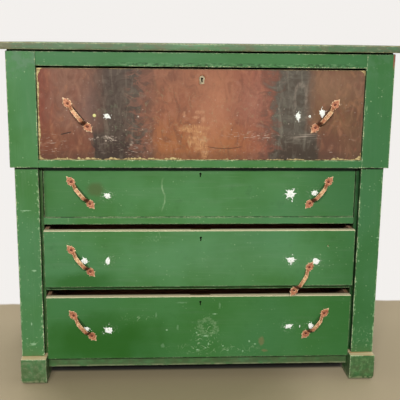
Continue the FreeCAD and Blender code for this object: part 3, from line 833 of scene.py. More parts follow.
def marks_on_drawer_3(finish, colour):
    """Greasier paint low on the left of the third drawer, scratches at its top and filler dust."""
    colour = greasy_patch(finish, colour, -0.365, 0.318, 0.105, 0.03, 0.75)
    colour = curly_scratches(finish, colour, (-0.145, 0.462, 0.035, 0.016, 0.34),
                             (0.01, 0.392, 0.018, 0.012, 0.4))
    haze = finish.blot(0.02, 0.4, 0.25, 0.07, 0.7, 0.4, finish.noise(80 * mm, detail=3, seed=106))
    colour = colour.coat(haze * 0.24, (106, 150, 110))
    return splashes(finish, colour, ((-0.275, 0.387), (0.271, 0.386), (0.347, 0.384)))


def marks_on_drawer_4(finish, colour):
    """Darker paint over the lowest drawer, scribbled scratches in its middle and reddish spots."""
    colour = colour.coat(0.42, (42, 98, 34))
    colour = greasy_patch(finish, colour, -0.3, 0.13, 0.17, 0.075, 0.85)
    colour = scratched_ring(finish, colour, 0.024, 0.172, 24 * mm, 11 * mm, 0.24)
    colour = curly_scratches(finish, colour, (0.015, 0.145, 0.04, 0.046, 0.6),
                             (-0.19, 0.202, 0.05, 0.008, 0.4), (0.06, 0.1, 0.13, 0.018, 0.45))
    colour = flecks(finish, colour, ((-101, 163, 2.6, 2.2), (-10, 153, 2.4, 2.4), (18, 142, 6, 1.8),
                                     (27, 116, 1.8, 4), (18, 103, 2.6, 1.8), (-7, 97, 4, 2.2),
                                     (86, 94, 3.4, 1.8), (72, 109, 2.6, 1.6), (153, 123, 2.4, 2.8),
                                     (170, 114, 3.6, 1.8), (133, 91, 2, 2.2), (45, 213, 6, 1.5)), 0.75)
    colour = flecks(finish, colour, ((-68, 171, 3, 8), (-133, 212, 2.4, 7), (-113, 112, 5, 6),
                                     (-56, 250, 14, 2), (60, 240, 3, 9)), 0.22)
    fine = finish.noise(7 * mm, detail=3, seed=55)
    spots = finish.blots(fine, (0.19, 0.124, 0.008, 0.014, 0.4, 0.8), (0.2, 0.092, 0.009, 0.004, 0.4, 0.8))
    colour = colour.coat(spots * 0.6, (120, 110, 72))
    return splashes(finish, colour, ((-0.277, 0.165), (0.273, 0.171), (0.342, 0.172)))


def greasy_patch(finish, colour, x, z, half_x, half_z, share):
    """Deeper, more saturated green where hands and rags have been."""
    wander = finish.noise(60 * mm, detail=3, seed=52)
    deep = finish.blot(x, z, half_x, half_z, 0.6, 0.5, wander)
    return colour.coat(deep * share, (38, 90, 24))


def curly_scratches(finish, colour, *places):
    """Thin curved scratches that wander about each place, given with its half sizes and strength."""
    field = finish.noise(30 * mm, detail=1, twist=0.8, seed=56)
    line = abs(field - 0.5).fade(0.004, 0.016)
    second = finish.noise(17 * mm, (1.4, 1, 1), detail=1, seed=57)
    other = abs(second - 0.52).fade(0.004, 0.016)
    lines = (line | other) * finish.noise(9 * mm, seed=58).step(0.46, 0.58)
    wander = finish.noise(20 * mm, seed=59)
    for *spot, share in places:
        near = finish.blot(*spot, 0.5, 0.6, wander)
        colour = colour.coat(lines * near * share, "green_pale")
    return colour


def flecks(finish, colour, places, share):
    """Single pale nicks and smears, each with its place and half sizes in millimetres."""
    wander = finish.noise(5 * mm, detail=3, seed=103)
    marks = finish.blots(wander, *((*(size * mm for size in place), 0.5, 0.9) for place in places))
    return colour.coat(marks * share, (156, 192, 148))


def scratched_ring(finish, colour, x, z, radius, width, share):
    """Ring of faint pale scratches, as rubbed by something round."""
    across = finish.x - x
    up = finish.z - z
    away = (across * across + up * up).root()
    ripple = finish.noise(11 * mm, detail=3, twist=1, seed=104)
    off = abs(ripple * (44 * mm) + away - (radius + 22 * mm))
    gaps = finish.noise(6 * mm, (1.6, 1, 1), detail=3, seed=105).step(0.42, 0.6, 0.2, 1)
    ring = off.fade(0.3 * width, width) * gaps
    return colour.coat(ring * share, "green_pale")


def splashes(finish, colour, places):
    """Thin smears and dust of filler round the dabs."""
    fine = finish.noise(3.2 * mm, detail=4, rough=0.7, seed=60)
    dust = fine.step(0.57, 0.68)
    wander = finish.noise(12 * mm, seed=61)
    for x, z in places:
        near = finish.blot(x, z, 22 * mm, 17 * mm, 0.7, 0.5, wander)
        colour = colour.coat(near * dust * 0.75, (226, 232, 208))
    return colour


def figured_veneer(key):
    """Dull reddish veneer with two dark feathered plumes, chipped to a pale ground at its edges, with
    painted highlights and a painted shadow beside the pulls.
    """
    finish = Finish("drawer_1_veneer")
    cloud = finish.noise(0.12, detail=4, seed=61)
    lively = finish.noise(30 * mm, (1, 1, 1.8), detail=3, rough=0.55, twist=1.2, seed=62)
    grain = finish.noise(3.2 * mm, draw_out("Z", 16), detail=3, twist=0.4, seed=63)
    drift = lively.swing(60 * mm)
    x = finish.x + drift

    left_joint = finish.x.step(-0.316, -0.282)
    right_joint = finish.x.step(0.27, 0.29)
    wobble = finish.x + lively.swing(36 * mm)
    high = finish.z.step(0.75, 0.79)
    left_side = high.step(0, 1, wobble.step(-0.318, -0.308), wobble.step(-0.345, -0.258))
    right_side = high.step(0, 1, wobble.step(0.346, 0.328), wobble.step(0.334, 0.286))
    patchy = lively * 0.11 + (finish.x - 0.055)
    outer_left = finish.mix(patchy.step(-0.465, -0.395), "veneer_red", "veneer_mauve")
    low = (finish.z + drift).step(0.82, 0.74, 0, 0.85)
    outer_left = outer_left.coat(low, (112, 66, 46))
    middle = finish.mix(x.step(0.02, 0.2), "veneer", (144, 86, 68))
    orange = finish.z.step(0.84, 0.74) * x.step(0.22, 0.05)
    middle = middle.coat(orange * 0.7, (158, 98, 54))
    outer_right = finish.mix(x.step(0.4, 0.46), "veneer_brown", (104, 76, 56))
    low_right = (finish.z + drift).step(0.81, 0.73) * x.step(0.46, 0.38)
    outer_right = outer_right.coat(low_right * 0.8, (98, 64, 52))
    colour = outer_left.coat(left_joint, middle)
    colour = colour.coat(right_joint, outer_right)

    bloom = finish.z.step(0.87, 0.935) * cloud.step(0.4, 0.6)
    colour = colour.coat(bloom * 0.4, "veneer_mauve")
    colour = colour.coat(lively.step(0.52, 0.72, 0, 0.32), "veneer_red")
    colour = colour.coat(lively.step(0.46, 0.3, 0, 0.25), (176, 120, 86))
    colour = colour.coat(grain.step(0.52, 0.72, 0, 0.15), "veneer_brown")
    mottle = finish.noise(30 * mm, (1, 1, 1.9), detail=3, twist=1.8, seed=94)
    colour = colour.coat(mottle.step(0.46, 0.7, 0, 0.44), (98, 62, 48))
    colour = colour.coat(mottle.step(0.48, 0.28, 0, 0.2), (178, 128, 100))
    wave = finish.x + finish.noise(0.07, seed=70).swing(40 * mm)
    streak = abs(wave + 0.146).step(2 * mm, 9 * mm, 0.3, 0)
    colour = colour.coat(streak, "plume_dark")

    # Painted highlight, a lighter patch above the middle.
    painted_highlight = (184, 124, 92)
    colour = colour.coat(finish.blot(0.03, 0.83, 0.045, 0.1, 0.8, 0.4, cloud) * 0.45, painted_highlight)
    bends = finish.noise(36 * mm, (1.9, 1, 1), detail=3, twist=1.6, seed=90)
    curl = abs(bends - 0.5).fade(0.015, 0.085)
    off = abs(abs(finish.x) - 0.175)
    borders = off.fade(0.025, 0.055)
    brown_strip = x.step(-0.215, -0.19) * x.step(-0.125, -0.15)
    colour = colour.coat(brown_strip * 0.65, (114, 80, 60))
    bloomed = finish.blot(-0.3, 0.835, 0.04, 0.075, 0.7, 0.5, cloud)
    colour = colour.coat(bloomed * 0.5, (104, 84, 78))
    wide_top = finish.blot(-0.185, 0.925, 0.04, 0.03, 0.6, 0.6, cloud)
    colour = colour.coat(wide_top * 0.55, (84, 70, 60))

    left_tones = ("plume", "plume_dark", "plume_streak")
    colour = plume(finish, colour, left_tones, (-0.302, -0.176), left_side, 71)
    colour = colour.coat(curl * borders * 0.3, (158, 104, 82))
    # Painted sheen: two lighter patches high on the right.
    for place, share, painted_sheen in (((0.15, 0.845, 0.055, 0.06), 0.25, (162, 116, 96)),
                                ((0.36, 0.895, 0.09, 0.045), 0.3, (142, 110, 88))):
        colour = colour.coat(finish.blot(*place, 0.7, 0.5, cloud) * share, painted_sheen)
    right_dark = (60, 52, 42)
    right_tones = ((88, 84, 73), right_dark, (122, 116, 101))
    colour = plume(finish, colour, right_tones, (0.322, 0.2), right_side, 76)

    fleck = finish.noise(5 * mm, (1, 1, 1.6), detail=4, rough=0.7, seed=77).step(0.5, 0.72, 0, 0.15)
    colour = colour.coat(fleck, right_dark)
    foot_shade = (finish.z + drift * 0.3).step(0.722, 0.7, 0, 0.35)
    colour = colour.coat(foot_shade, right_dark)
    # Painted shadow beside the grips.
    colour = painted_grip_shadow(finish, colour, 1, {-1: 0.8, 1: 0.5}, (44, 26, 16))
    colour, marks = veneer_scuffs(finish, colour)
    colour, bare = veneer_edges(finish, colour, right_dark)
    wood, _ = bare_wood(finish, "cream", "tan", "X")
    front = finish.measure("behind").fade(0.9 * mm, 1.4 * mm)
    colour = finish.mix(front, wood, colour)
    # Painted shade inside the keyhole.
    colour = colour.coat(keyhole_dark(finish, key), "soot_and_shade")
    rough = (marks | bare).step(0, 1, cloud.step(0.35, 0.65, 0.42, 0.56), 0.8)
    height = grain * 0.4 + bare * -1.6
    return finish.surface(colour, rough, height, 0.3 * mm, Specular_IOR_Level=0.18)


def plume(finish, colour, tones, sides, joint, seed):
    """One dark feather of crotch figure between a leaf joint and its flaming inner side."""
    usual, darkest, streaky = tones
    outer, inner = sides
    hand = 1 if inner > outer else -1
    flames = finish.noise(46 * mm, (1.2, 1, 1), detail=3, twist=2.2, seed=seed)
    wisps = finish.noise(20 * mm, (1.8, 1, 1), twist=2, seed=seed + 1)
    across = (finish.x - inner) * hand
    reach = flames * 0.12 + (across - 0.068)
    reach = wisps * 0.03 + (reach - 0.015)
    halo = reach.step(-4 * mm, 46 * mm, 0.72, 0) * joint
    colour = colour.coat(halo, (106, 70, 56))
    inside = reach.fade(-32 * mm, 14 * mm) * joint
    centre = (outer + inner) / 2
    away = abs(finish.x - centre)
    dark = finish.mix(finish.z.step(0.79, 0.71), usual, darkest)
    dark = dark.coat(flames.step(0.46, 0.68, 0, 0.55), darkest)
    fan = finish.vector((finish.x - centre) * 5.5, 0, finish.z - away * 1.9)
    streak = finish.noise(1 / 13, detail=4, twist=0.6, place=fan)
    light = streak.step(0.5, 0.7, 0, 0.6)
    dark = dark.coat(light, streaky)
    dark = dark.coat(wisps.step(0.5, 0.3, 0, 0.35), darkest)
    dark = dark.coat(flames.step(0.44, 0.28, 0, 0.45), streaky)
    red = wisps.step(0.56, 0.68) * abs(across).step(0.06, 0.02)
    dark = dark.coat(red * 0.35, (104, 72, 60))
    return colour.coat(inside * 0.93, dark)


def veneer_scuffs(finish, colour):
    """Worn patches, streaks and scratches on the veneer."""
    wander = finish.noise(14 * mm, detail=4, rough=0.65, seed=65)
    wobbly = finish.x + wander.swing(8 * mm)
    worn = finish.blots(wander, (-0.024, 0.779, 0.04, 0.011, 0.3, 0.6),
                        (-0.01, 0.748, 0.022, 0.03, 0.3, 0.7), (0.006, 0.715, 0.011, 0.022, 0.35, 0.8),
                        (-0.036, 0.742, 0.006, 0.016, 0.3, 0.7))
    shreds = finish.noise(5 * mm, (1, 1, 1.6), detail=4, rough=0.7, seed=78)
    tear = finish.blots(shreds, (-0.01, 0.826, 0.013, 0.0045, 0.4, 1.4),
                        (-0.018, 0.812, 0.012, 0.0035, 0.4, 1.4), (0.001, 0.806, 0.0065, 0.008, 0.4, 1.4),
                        (-0.052, 0.82, 0.004, 0.008, 0.4, 1.4))
    fibres = finish.noise(3 * mm, draw_out("Z", 4), detail=3, seed=66).step(0.32, 0.58, 0.25, 1)
    veins = finish.noise(17 * mm, (1.8, 1, 1), detail=3, twist=1.2, seed=64)
    lines = abs(veins - 0.5).step(0.015, 0.075, 1, 0.5)
    worn = worn * lines
    colour = colour.coat(worn * fibres * 0.95, (194, 144, 100))
    colour = colour.coat(tear * fibres * 0.6, (196, 146, 112))
    dusty = (finish.noise(20 * mm, (2, 1, 1), detail=5, rough=0.7, seed=73).step(0.58, 0.7)
             * finish.z.step(0.93, 0.72, 0.25, 0.7))
    colour = colour.coat(dusty * 0.22, (186, 168, 150))
    streaks = (finish.blot(0.298, 0.757, 0.038, 0.009, 0.5, 0.5, wander)
               * finish.noise(2.2 * mm, draw_out("X", 30), detail=1, seed=67).step(0.5, 0.6))
    nicks = finish.specks(9 * mm, 1.4 * mm, seed=68) | finish.specks(15 * mm, 2.4 * mm, seed=74)
    small = nicks * finish.z.step(0.92, 0.76, 0.2, 1)
    chalk = finish.noise(3 * mm, detail=3, rough=0.6, seed=79).step(0.52, 0.57)
    touches = finish.blots(wander, (-0.316, 0.748, 0.008, 0.004, 0.5, 0.9),
                           (-0.3, 0.753, 0.004, 0.003, 0.5, 0.9), (-0.266, 0.753, 0.016, 0.005, 0.5, 0.9),
                           (-0.262, 0.744, 0.018, 0.003, 0.5, 0.9))
    dabbed = touches * chalk | finish.blot(-0.183, 0.813, 0.0022, 0.0022, 0.4)
    scrapes = finish.noise(2 * mm, (7, 1, 1.5), detail=3, twist=0.6, seed=80).step(0.58, 0.66)
    scraped = finish.blots(wander, (-0.428, 0.735, 0.034, 0.026, 0.6, 0.5),
                           (-0.13, 0.743, 0.05, 0.01, 0.6, 0.5), (-0.205, 0.722, 0.035, 0.022, 0.6, 0.5),
                           (0.15, 0.76, 0.08, 0.012, 0.6, 0.5))
    ring = (abs((wobbly - 0.281) / 0.017) ** 2 + abs((finish.z - 0.868) / 0.04) ** 2).root()
    arch = abs(ring - 1).fade(0.08, 0.32) * finish.z.step(0.835, 0.85) * wander.step(0.36, 0.5, 0.3, 1)
    long_marks = finish.specks(22 * mm, 1.5 * mm, (5, 1, 1), seed=69) * finish.z.step(0.8, 0.72)
    marks = (streaks * 0.45 | small * 0.5 | long_marks * 0.45 | dabbed * 0.95 | scraped * scrapes * 0.55
             | arch * fibres * 0.16)
    colour = colour.coat(marks, (206, 186, 166))
    colour = curly_scratches(finish, colour, (-0.05, 0.8, 0.3, 0.1, 0.12))
    turn = finish.x * -0.24 + finish.z
    cut = abs(turn - 0.858).fade(0.8 * mm, 2.2 * mm) * abs(finish.x + 0.388).fade(12 * mm, 17 * mm)
    bow = (finish.x - 0.065) ** 2 * 2.4 + 0.722
    crack = abs(finish.z - bow).fade(0.6 * mm, 2 * mm) * abs(finish.x - 0.065).fade(0.04, 0.055)
    dark = cut * 0.9 | crack * 0.6
    return colour.coat(dark, (44, 34, 26)), worn | tear


def veneer_edges(finish, colour, rim_tone):
    """Ragged missing veneer along the edges, most of it low down and at the upper corners."""
    edge = finish.measure("edge")
    fine = finish.noise(8 * mm, detail=4, rough=0.6, seed=71)
    places = finish.noise(42 * mm, detail=3, seed=72)
    lower = finish.z.step(0.716, 0.704)
    stretch = finish.x.step(-0.04, 0.02, 1, 0.6)
    far = finish.x.step(0.365, 0.38)
    lowest = lower * (stretch | far)
    ragged = (fine * (18 * mm) - 2.6 * mm) * places.step(0.4, 0.58, 0.3, 1)
    broken = finish.noise(16 * mm, (1, 1, 2.5), detail=3, seed=75).step(0.4, 0.58, 0.6, 1.2)
    side = finish.x.step(-0.45, -0.457, 0, 5.5 * mm) * broken
    depth_here = ragged * (lowest | 0.14) | side
    bare = (depth_here - edge).step(-0.4 * mm, 0.5 * mm)
    low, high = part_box("drawer_1_front")
    centre = (low + high) / 2
    radius = bpy.context.scene.dresser_sizes.veneer_corner
    corner = []
    for place, middle, half in ((finish.x, centre.x, high.x - centre.x),
                                (finish.z, centre.z, high.z - centre.z)):
        off = abs(place - middle)
        corner.append(off - (half - radius) | 0)
    away = (corner[0] * corner[0] + corner[1] * corner[1]).root()
    away = away + fine.swing(6 * mm)
    bare = bare | away.step(radius - 0.6 * mm, radius + 0.6 * mm)
    ground = finish.mix(fine.step(0.42, 0.6), (150, 130, 86), (206, 184, 130))
    rim = edge.step(0.8 * mm, 3 * mm, 0.55, 0)
    colour = colour.coat(rim, rim_tone)
    return colour.coat(bare, ground), bare


def cast_copper():
    """Coppery cast metal, dark in the hollows and pale along its rubbed rims, with a painted highlight on
    the upper part of the bow and painted shade with tarnish at the lower neck.
    """
    finish = Finish("cast_copper")
    blotch = finish.noise(6 * mm, detail=4, rough=0.6, seed=81)
    fine = finish.noise(1.8 * mm, detail=3, rough=0.6, seed=82)
    rim = finish.measure("rim")
    along = finish.measure("along")
    pink = finish.mix(blotch.step(0.4, 0.62), (158, 92, 66), (206, 146, 110))
    colour = pink.coat(fine.step(0.35, 0.62, 0, 0.6), "copper")
    # Pale bow, partly rubbed metal and partly a painted highlight on its upper part.
    grip = abs(along - 0.14).fade(0.3, 0.48) * blotch.step(0.36, 0.6, 0.2, 1)
    colour = colour.coat(grip * 0.8, (226, 190, 138))
    shone = blotch * 0.9 + (fine * 0.7 + rim)
    pits = finish.noise(2.4 * mm, seed=86).step(0.52, 0.62, 0, 0.6)
    colour = colour.coat(pits, (112, 56, 36))
    rubbed = shone.step(1.36, 1.6, 0, 0.95)
    tips = (abs(along) + fine * 0.5).step(1.58, 1.74, 0, 0.8)
    colour = colour.coat(rubbed | tips, "copper_pale")
    # Painted shade on the lower neck, with tarnish.
    neck = abs(along + 0.66).step(0.06, 0.2, 0.85, 0)
    colour = colour.coat(neck, (70, 32, 18))
    edge = finish.measure("side").step(0.4, 0.9, 0, 0.75)
    hollow = (finish.measure("seat") | edge) * fine.step(0.3, 0.6, 0.55, 1)
    colour = colour.coat(hollow, "copper_dark")
    rough = blotch.step(0.35, 0.65, 0.45, 0.62)
    return finish.surface(colour, rough, fine, 0.25 * mm, Metallic=0.25, Specular_IOR_Level=0.5)


def rusted_screw():
    """Dark rusted steel."""
    finish = Finish("rusted_screw")
    grain = finish.noise(0.9 * mm, detail=3, seed=83)
    colour = finish.mix(grain.step(0.4, 0.65), "rust", (48, 30, 24))
    return finish.surface(colour, 0.62, grain, 0.2 * mm, Metallic=0.5)


def lock_brass():
    """Tarnished lock plates with painted shade on the faces that look out through the keyhole, and the pale
    lining where it faces the front.
    """
    finish = Finish("lock_brass")
    cloud = finish.noise(9 * mm, detail=4, seed=84)
    colour = finish.mix(cloud.step(0.4, 0.66), "brass", (70, 54, 36))
    # Painted shade on the faces that look out through the keyhole.
    colour = colour.coat(finish.axes(finish.facing)[1].step(-0.7, -0.9), "soot_and_shade")
    lining = finish.y.step(-0.236, -0.238)
    bone = finish.mix(cloud.step(0.4, 0.7), "bone", (120, 104, 78))
    colour = colour.coat(lining, bone)
    metal = lining.step(0, 1, 0.9, 0)
    return finish.surface(colour, 0.5, cloud, 0.2 * mm, Metallic=metal)


def white_filler():
    """Chalky filler, smeared on with a blade."""
    finish = Finish("white_filler")
    smear = finish.noise(2.5 * mm, (1, 1, 2.5), detail=3, seed=85)
    colour = finish.mix(smear.step(0.46, 0.7), "filler", (190, 200, 172))
    colour = colour.coat(finish.blot(-0.307, 0.8155, 9 * mm, 9 * mm, 0.1), (226, 222, 146))
    return finish.surface(colour, 0.85, smear, 0.4 * mm, Specular_IOR_Level=0.3)


def worn_top():
    """Green top paint, mottled with brown and cream along its front and ends, with painted shade towards
    the right.
    """
    finish = Finish("top_paint")
    colour, rough, height = green_coat(finish, "X")
    mottle = finish.noise(16 * mm, (2.2, 1, 1), detail=5, rough=0.66, seed=91)
    mottle_wide = finish.noise(0.14, (2, 1, 1), detail=3, seed=92)
    front = finish.y.step(-0.25, -0.262, 0.3, 1)
    dusty = mottle_wide.step(0.3, 0.56, 0.4, 1) * front * 0.85
    colour = colour.coat(dusty, (92, 112, 84))
    # Painted shade: darker towards the right end.
    shaded = finish.x.step(0.1, 0.5, 0, 0.34)
    colour = colour.coat(shaded, (60, 84, 56))
    brown = mottle.step(0.5, 0.6) * front * 0.55
    colour = colour.coat(brown, (104, 100, 74))
    green = mottle.step(0.44, 0.36) * front * 0.5
    colour = colour.coat(green, (70, 122, 76))
    near_left = finish.x.step(-0.4, -0.46, 0.25, 1)
    cream = finish.noise(8 * mm, (2, 1, 1), detail=4, seed=93).step(0.6, 0.66) * front
    colour = colour.coat(cream * near_left * 0.8, (166, 180, 138))
    left_end = finish.x.step(-0.515, -0.54) * (finish.y.step(-0.235, -0.262) | finish.x.step(-0.56, -0.568))
    colour = colour.coat(left_end * 0.8, (112, 106, 80))
    colour, _ = scuffs(finish, colour, 0.6)
    colour, worn = worn_edges(finish, colour, 0.6, 0.3, 0)
    rough = rough | (worn | dusty) * 0.7
    return finish.surface(colour, rough, height + mottle, 0.35 * mm, Specular_IOR_Level=0.3)


def foot_ledge(finish, colour):
    """Bare cream wood on the ledge that a foot's top makes."""
    wood, _ = bare_wood(finish, "cream", (196, 160, 112), "X")
    colour = low_dust(finish, colour)
    blurs = finish.noise(13 * mm, detail=4, rough=0.62, seed=109)
    right = finish.x.step(-0.1, 0.1)
    faded = blurs.step(0.48, 0.62, 0, 0.5)
    colour = colour.coat(faded, finish.mix(right, (122, 132, 98), (104, 142, 88)))
    colour = colour.coat(blurs.step(0.46, 0.36, 0, 0.4), (58, 84, 50))
    low = finish.z.step(16 * mm, 9 * mm) * blurs.step(0.4, 0.55)
    colour = colour.coat(low * 0.6, (168, 172, 128))
    return colour.coat(finish.axes(finish.facing)[2].step(0.5, 0.8), wood)


def low_dust(finish, colour):
    """Brownish dust that has settled on the paint near the floor."""
    blurs = finish.noise(26 * mm, detail=4, rough=0.62, seed=97)
    dust = finish.z.step(0.13, 0.04) * blurs.step(0.34, 0.62, 0.3, 1)
    return colour.coat(dust * 0.6, (92, 98, 66))


def rail_dirt(finish, colour):
    """Dust low down, and more dirt on the base rail."""
    blurs = finish.noise(18 * mm, (2, 1, 1), detail=4, rough=0.62, seed=89)
    dirt = finish.z.step(0.085, 0.07) * blurs.step(0.34, 0.6, 0.1, 0.45)
    colour = finish.mix(dirt, low_dust(finish, colour), (48, 62, 34))
    worn = finish.z.step(45 * mm, 40 * mm) * blurs.step(0.4, 0.56)
    return colour.coat(worn * 0.65, (136, 140, 104))


def painted_recess_shade(finish, colour):
    """Painted shade where the posts lie deep between pilaster and drawer, olive on the left and dark green
    on the right, with a painted shadow under the frieze.
    """
    blurs = finish.noise(40 * mm, detail=3, seed=98)
    # Painted shade over the posts, darker on the right.
    shadow_tone = finish.mix(finish.x.step(-0.1, 0.1), (50, 76, 34), (14, 50, 16))
    colour = colour.coat(blurs.step(0.35, 0.65, 0.65, 0.9), shadow_tone)
    # Painted shadow under the frieze.
    return colour.coat(finish.z.step(0.65, 0.655, 0, 0.92), (10, 16, 8))


def pilaster_marks(finish, colour):
    """Dust low down, a painted shadow close under the frieze and painted shade on the sides towards the
    drawers.
    """
    colour = low_dust(finish, colour)
    ends = finish.z.step(0.22, 0.12) | finish.z.step(0.5, 0.6, 0, 0.8)
    chips = finish.specks(9 * mm, 2 * mm, (1.5, 1, 1), seed=107) * (ends | 0.25)
    edges = abs(finish.x).step(0.532, 0.537) | abs(finish.x).step(0.482, 0.476)
    nibbled = edges * finish.noise(6 * mm, (1, 1, 1.8), detail=3, seed=108).step(0.57, 0.64)
    pale = (166, 194, 148)
    colour = colour.coat(chips * 0.8 | nibbled * 0.6, pale)
    colour = flecks(finish, colour, ((-512, 536, 13, 1.6), (-494, 353, 6, 3), (-505, 121, 7, 4),
                                     (-508, 186, 2, 5), (536, 450, 7, 1.4), (480, 378, 2, 3)), 0.7)
    colour = curly_scratches(finish, colour, (-0.503, 0.115, 0.022, 0.016, 0.7),
                             (0.51, 0.13, 0.024, 0.03, 0.7))
    # Painted shadow of the frieze, reaching a little lower on the left.
    blurs = finish.noise(12 * mm, detail=3, seed=99)
    lowered = finish.z + finish.x.step(-0.1, 0.1, 1.6 * mm, 0)
    high = (blurs * (3 * mm) + lowered).step(0.6595, 0.662, 0, 0.9)
    colour = colour.coat(high, "soot_and_shade")
    # Painted shade on the inner sides towards the drawers.
    inner = abs(finish.x).step(0.4735, 0.4725)
    return colour.coat(inner * 0.8, (12, 44, 14))


def bare_corner(finish, colour):
    """Reddish bare edge high up on the right stile, and dust near its top."""
    red = finish.x.step(0.5435, 0.545) * finish.z.step(0.945, 0.965)
    colour = colour.coat(red, "rust_wood")
    blurs = finish.noise(34 * mm, detail=4, rough=0.62, seed=95)
    dust = finish.z.step(0.91, 0.95) * blurs.step(0.44, 0.6)
    left = finish.x.step(-0.1, 0.1, 0.6, 0.2)
    colour = colour.coat(dust * left, (96, 128, 98))
    return curly_scratches(finish, colour, (0.5, 0.893, 0.018, 0.012, 0.5))


def wrinkled_band(finish, colour):
    """Wrinkled and flaking paint along the lower part of the frieze's top rail."""
    ripple = finish.noise(7 * mm, (2.4, 1, 1), detail=4, rough=0.7, seed=96)
    colour = colour.coat(finish.z.step(0.94, 0.96, 0, 0.42), (52, 104, 58))
    band = abs(finish.z - 0.959).fade(3 * mm, 7 * mm) * abs(finish.x - 0.09).step(0.27, 0.4, 1, 0.25)
    dark = band * ripple.step(0.51, 0.57) * 0.85
    colour = colour.coat(dark, (36, 66, 32))
    pale = band * ripple.step(0.45, 0.4) * 0.25
    return colour.coat(pale, "green_pale")


# Operators: the stage, then the case, the drawers and their fittings

class DRESSER_OT_stage(bpy.types.Operator):
    """Floor, backdrop, lamps and camera"""

    bl_idname = "dresser.stage"
    bl_label = "Stage"

    def execute(self, context):
        light = context.scene.dresser_light
        points = [(0, 0, 0)]
        for ring in range(1, FLOOR_RINGS + 1):
            radius = FLOOR_REACH * (ring / FLOOR_RINGS) ** 2
            points.extend((x, y, 0) for x, y in circle(0, 0, radius, count=FLOOR_TURNS))
        floor = new_piece("studio_floor", points, fan_faces(FLOOR_TURNS, FLOOR_RINGS, False))
        floor.data.materials.append(self.floor_finish())
        context.scene.world = self.studio_light()
        self.lamp("key_lamp", LAMP_PLACE, (light.key_length, light.key_width), light.key_power)

        camera_data = bpy.data.cameras.new("camera")
        camera_data.lens = light.camera_lens
        camera_data.sensor_width = SENSOR_WIDTH
        camera = bpy.data.objects.new("camera", camera_data)
        context.scene.collection.objects.link(camera)
        turn = (Matrix.Rotation(-light.camera_turn, 4, "Z")
                @ Matrix.Rotation(math.pi / 2 - light.camera_drop, 4, "X")
                @ Matrix.Rotation(light.camera_roll, 4, "Z"))
        place = Matrix.Translation((light.camera_x, light.camera_y, light.camera_z))
        camera.matrix_world = place @ turn
        context.scene.camera = camera
        context.scene.view_settings.view_transform = "Standard"
        return {"FINISHED"}

    def floor_finish(self):
        """Tan sheet with a painted shadow under and in front of the chest, which goes over into the white
        background.
        """
        finish = Finish("studio_floor")
        soft = finish.noise(0.4, detail=3, seed=101)
        colour = finish.mix(soft.step(0.3, 0.7, 0.0, 0.12), "floor", (164, 150, 122))
        across = finish.x + 0.13
        # Painted shadow: a darker patch on the floor in front of the chest.
        spot = (across * across + (finish.y + 0.10) ** 2.0).root() + soft * 0.3
        colour = colour.coat(spot.step(0.46, 0.72, 0.60, 0.0), (116, 106, 72))
        # Painted shadow: nearly black floor under the chest, behind the base rail.
        deep = abs(finish.x).fade(0.46, 0.48) * finish.y.step(-0.172, -0.152) * finish.y.step(0.24, 0.20)
        colour = colour.coat(deep * 0.96, (10, 9, 5))
        shown = finish.seen_directly()
        finish.surface(finish.mix(shown, "floor_bounce", colour), 0.85)
        glow = finish.add("ShaderNodeEmission")
        glow.inputs["Color"].default_value = pigment(SHEET_WHITE)
        radius = (finish.x * finish.x + finish.y * finish.y).root()
        hem = finish.y + finish.noise(0.16, detail=2, seed=102) * 0.05
        finish.blend((radius.step(1.3, 1.7) | hem.step(0.478, 0.500)) * shown, finish.shader, glow,
                     finish.output)
        return finish.material

    def studio_light(self):
        """World that is white to look at and lights the object more from above and behind."""
        light = bpy.context.scene.dresser_light
        world = bpy.data.worlds.new("studio")
        world.use_nodes = True
        nodes = Nodes(world.node_tree)
        plain = nodes.tree.nodes["Background"]
        plain.inputs["Color"].default_value = (1, 1, 1, 1)
        _, y, z = nodes.axes(Field(nodes, nodes.add("ShaderNodeTexCoord").outputs["Generated"]))
        overhead = z.step(0.0, 0.8, light.sky_low, light.sky_low + light.sky_high)
        nodes.feed(plain.inputs["Strength"], overhead + y.step(-0.12, 0.16, 0.0, light.sky_behind))
        shown = nodes.add("ShaderNodeBackground")
        shown.inputs["Color"].default_value = pigment(SHEET_WHITE)
        nodes.blend(nodes.seen_directly(), plain, shown, nodes.tree.nodes["World Output"])
        return world

    def lamp(self, name, place, size, power):
        """Soft oblong lamp that faces the middle of the chest."""
        data = bpy.data.lights.new(name, "AREA")
        data.shape = "RECTANGLE"
        data.size, data.size_y = size
        data.energy = power
        lamp = bpy.data.objects.new(name, data)
        bpy.context.scene.collection.objects.link(lamp)
        lamp.location = place
        lamp.visible_camera = False
        aim = Vector(LAMP_AIM) - Vector(place)
        lamp.rotation_euler = aim.to_track_quat("-Z", "Y").to_euler()


class DRESSER_OT_top_board(bpy.types.Operator):
    """Top board with rounded, mottled edges"""

    bl_idname = "dresser.top_board"
    bl_label = "Top board"

    def execute(self, context):
        sizes = context.scene.dresser_sizes
        boards_piece("top_board", [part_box("top_board")], (0, 1, 2), worn_top(), 3, "top_paint",
                     sizes.top_rounding)
        return {"FINISHED"}


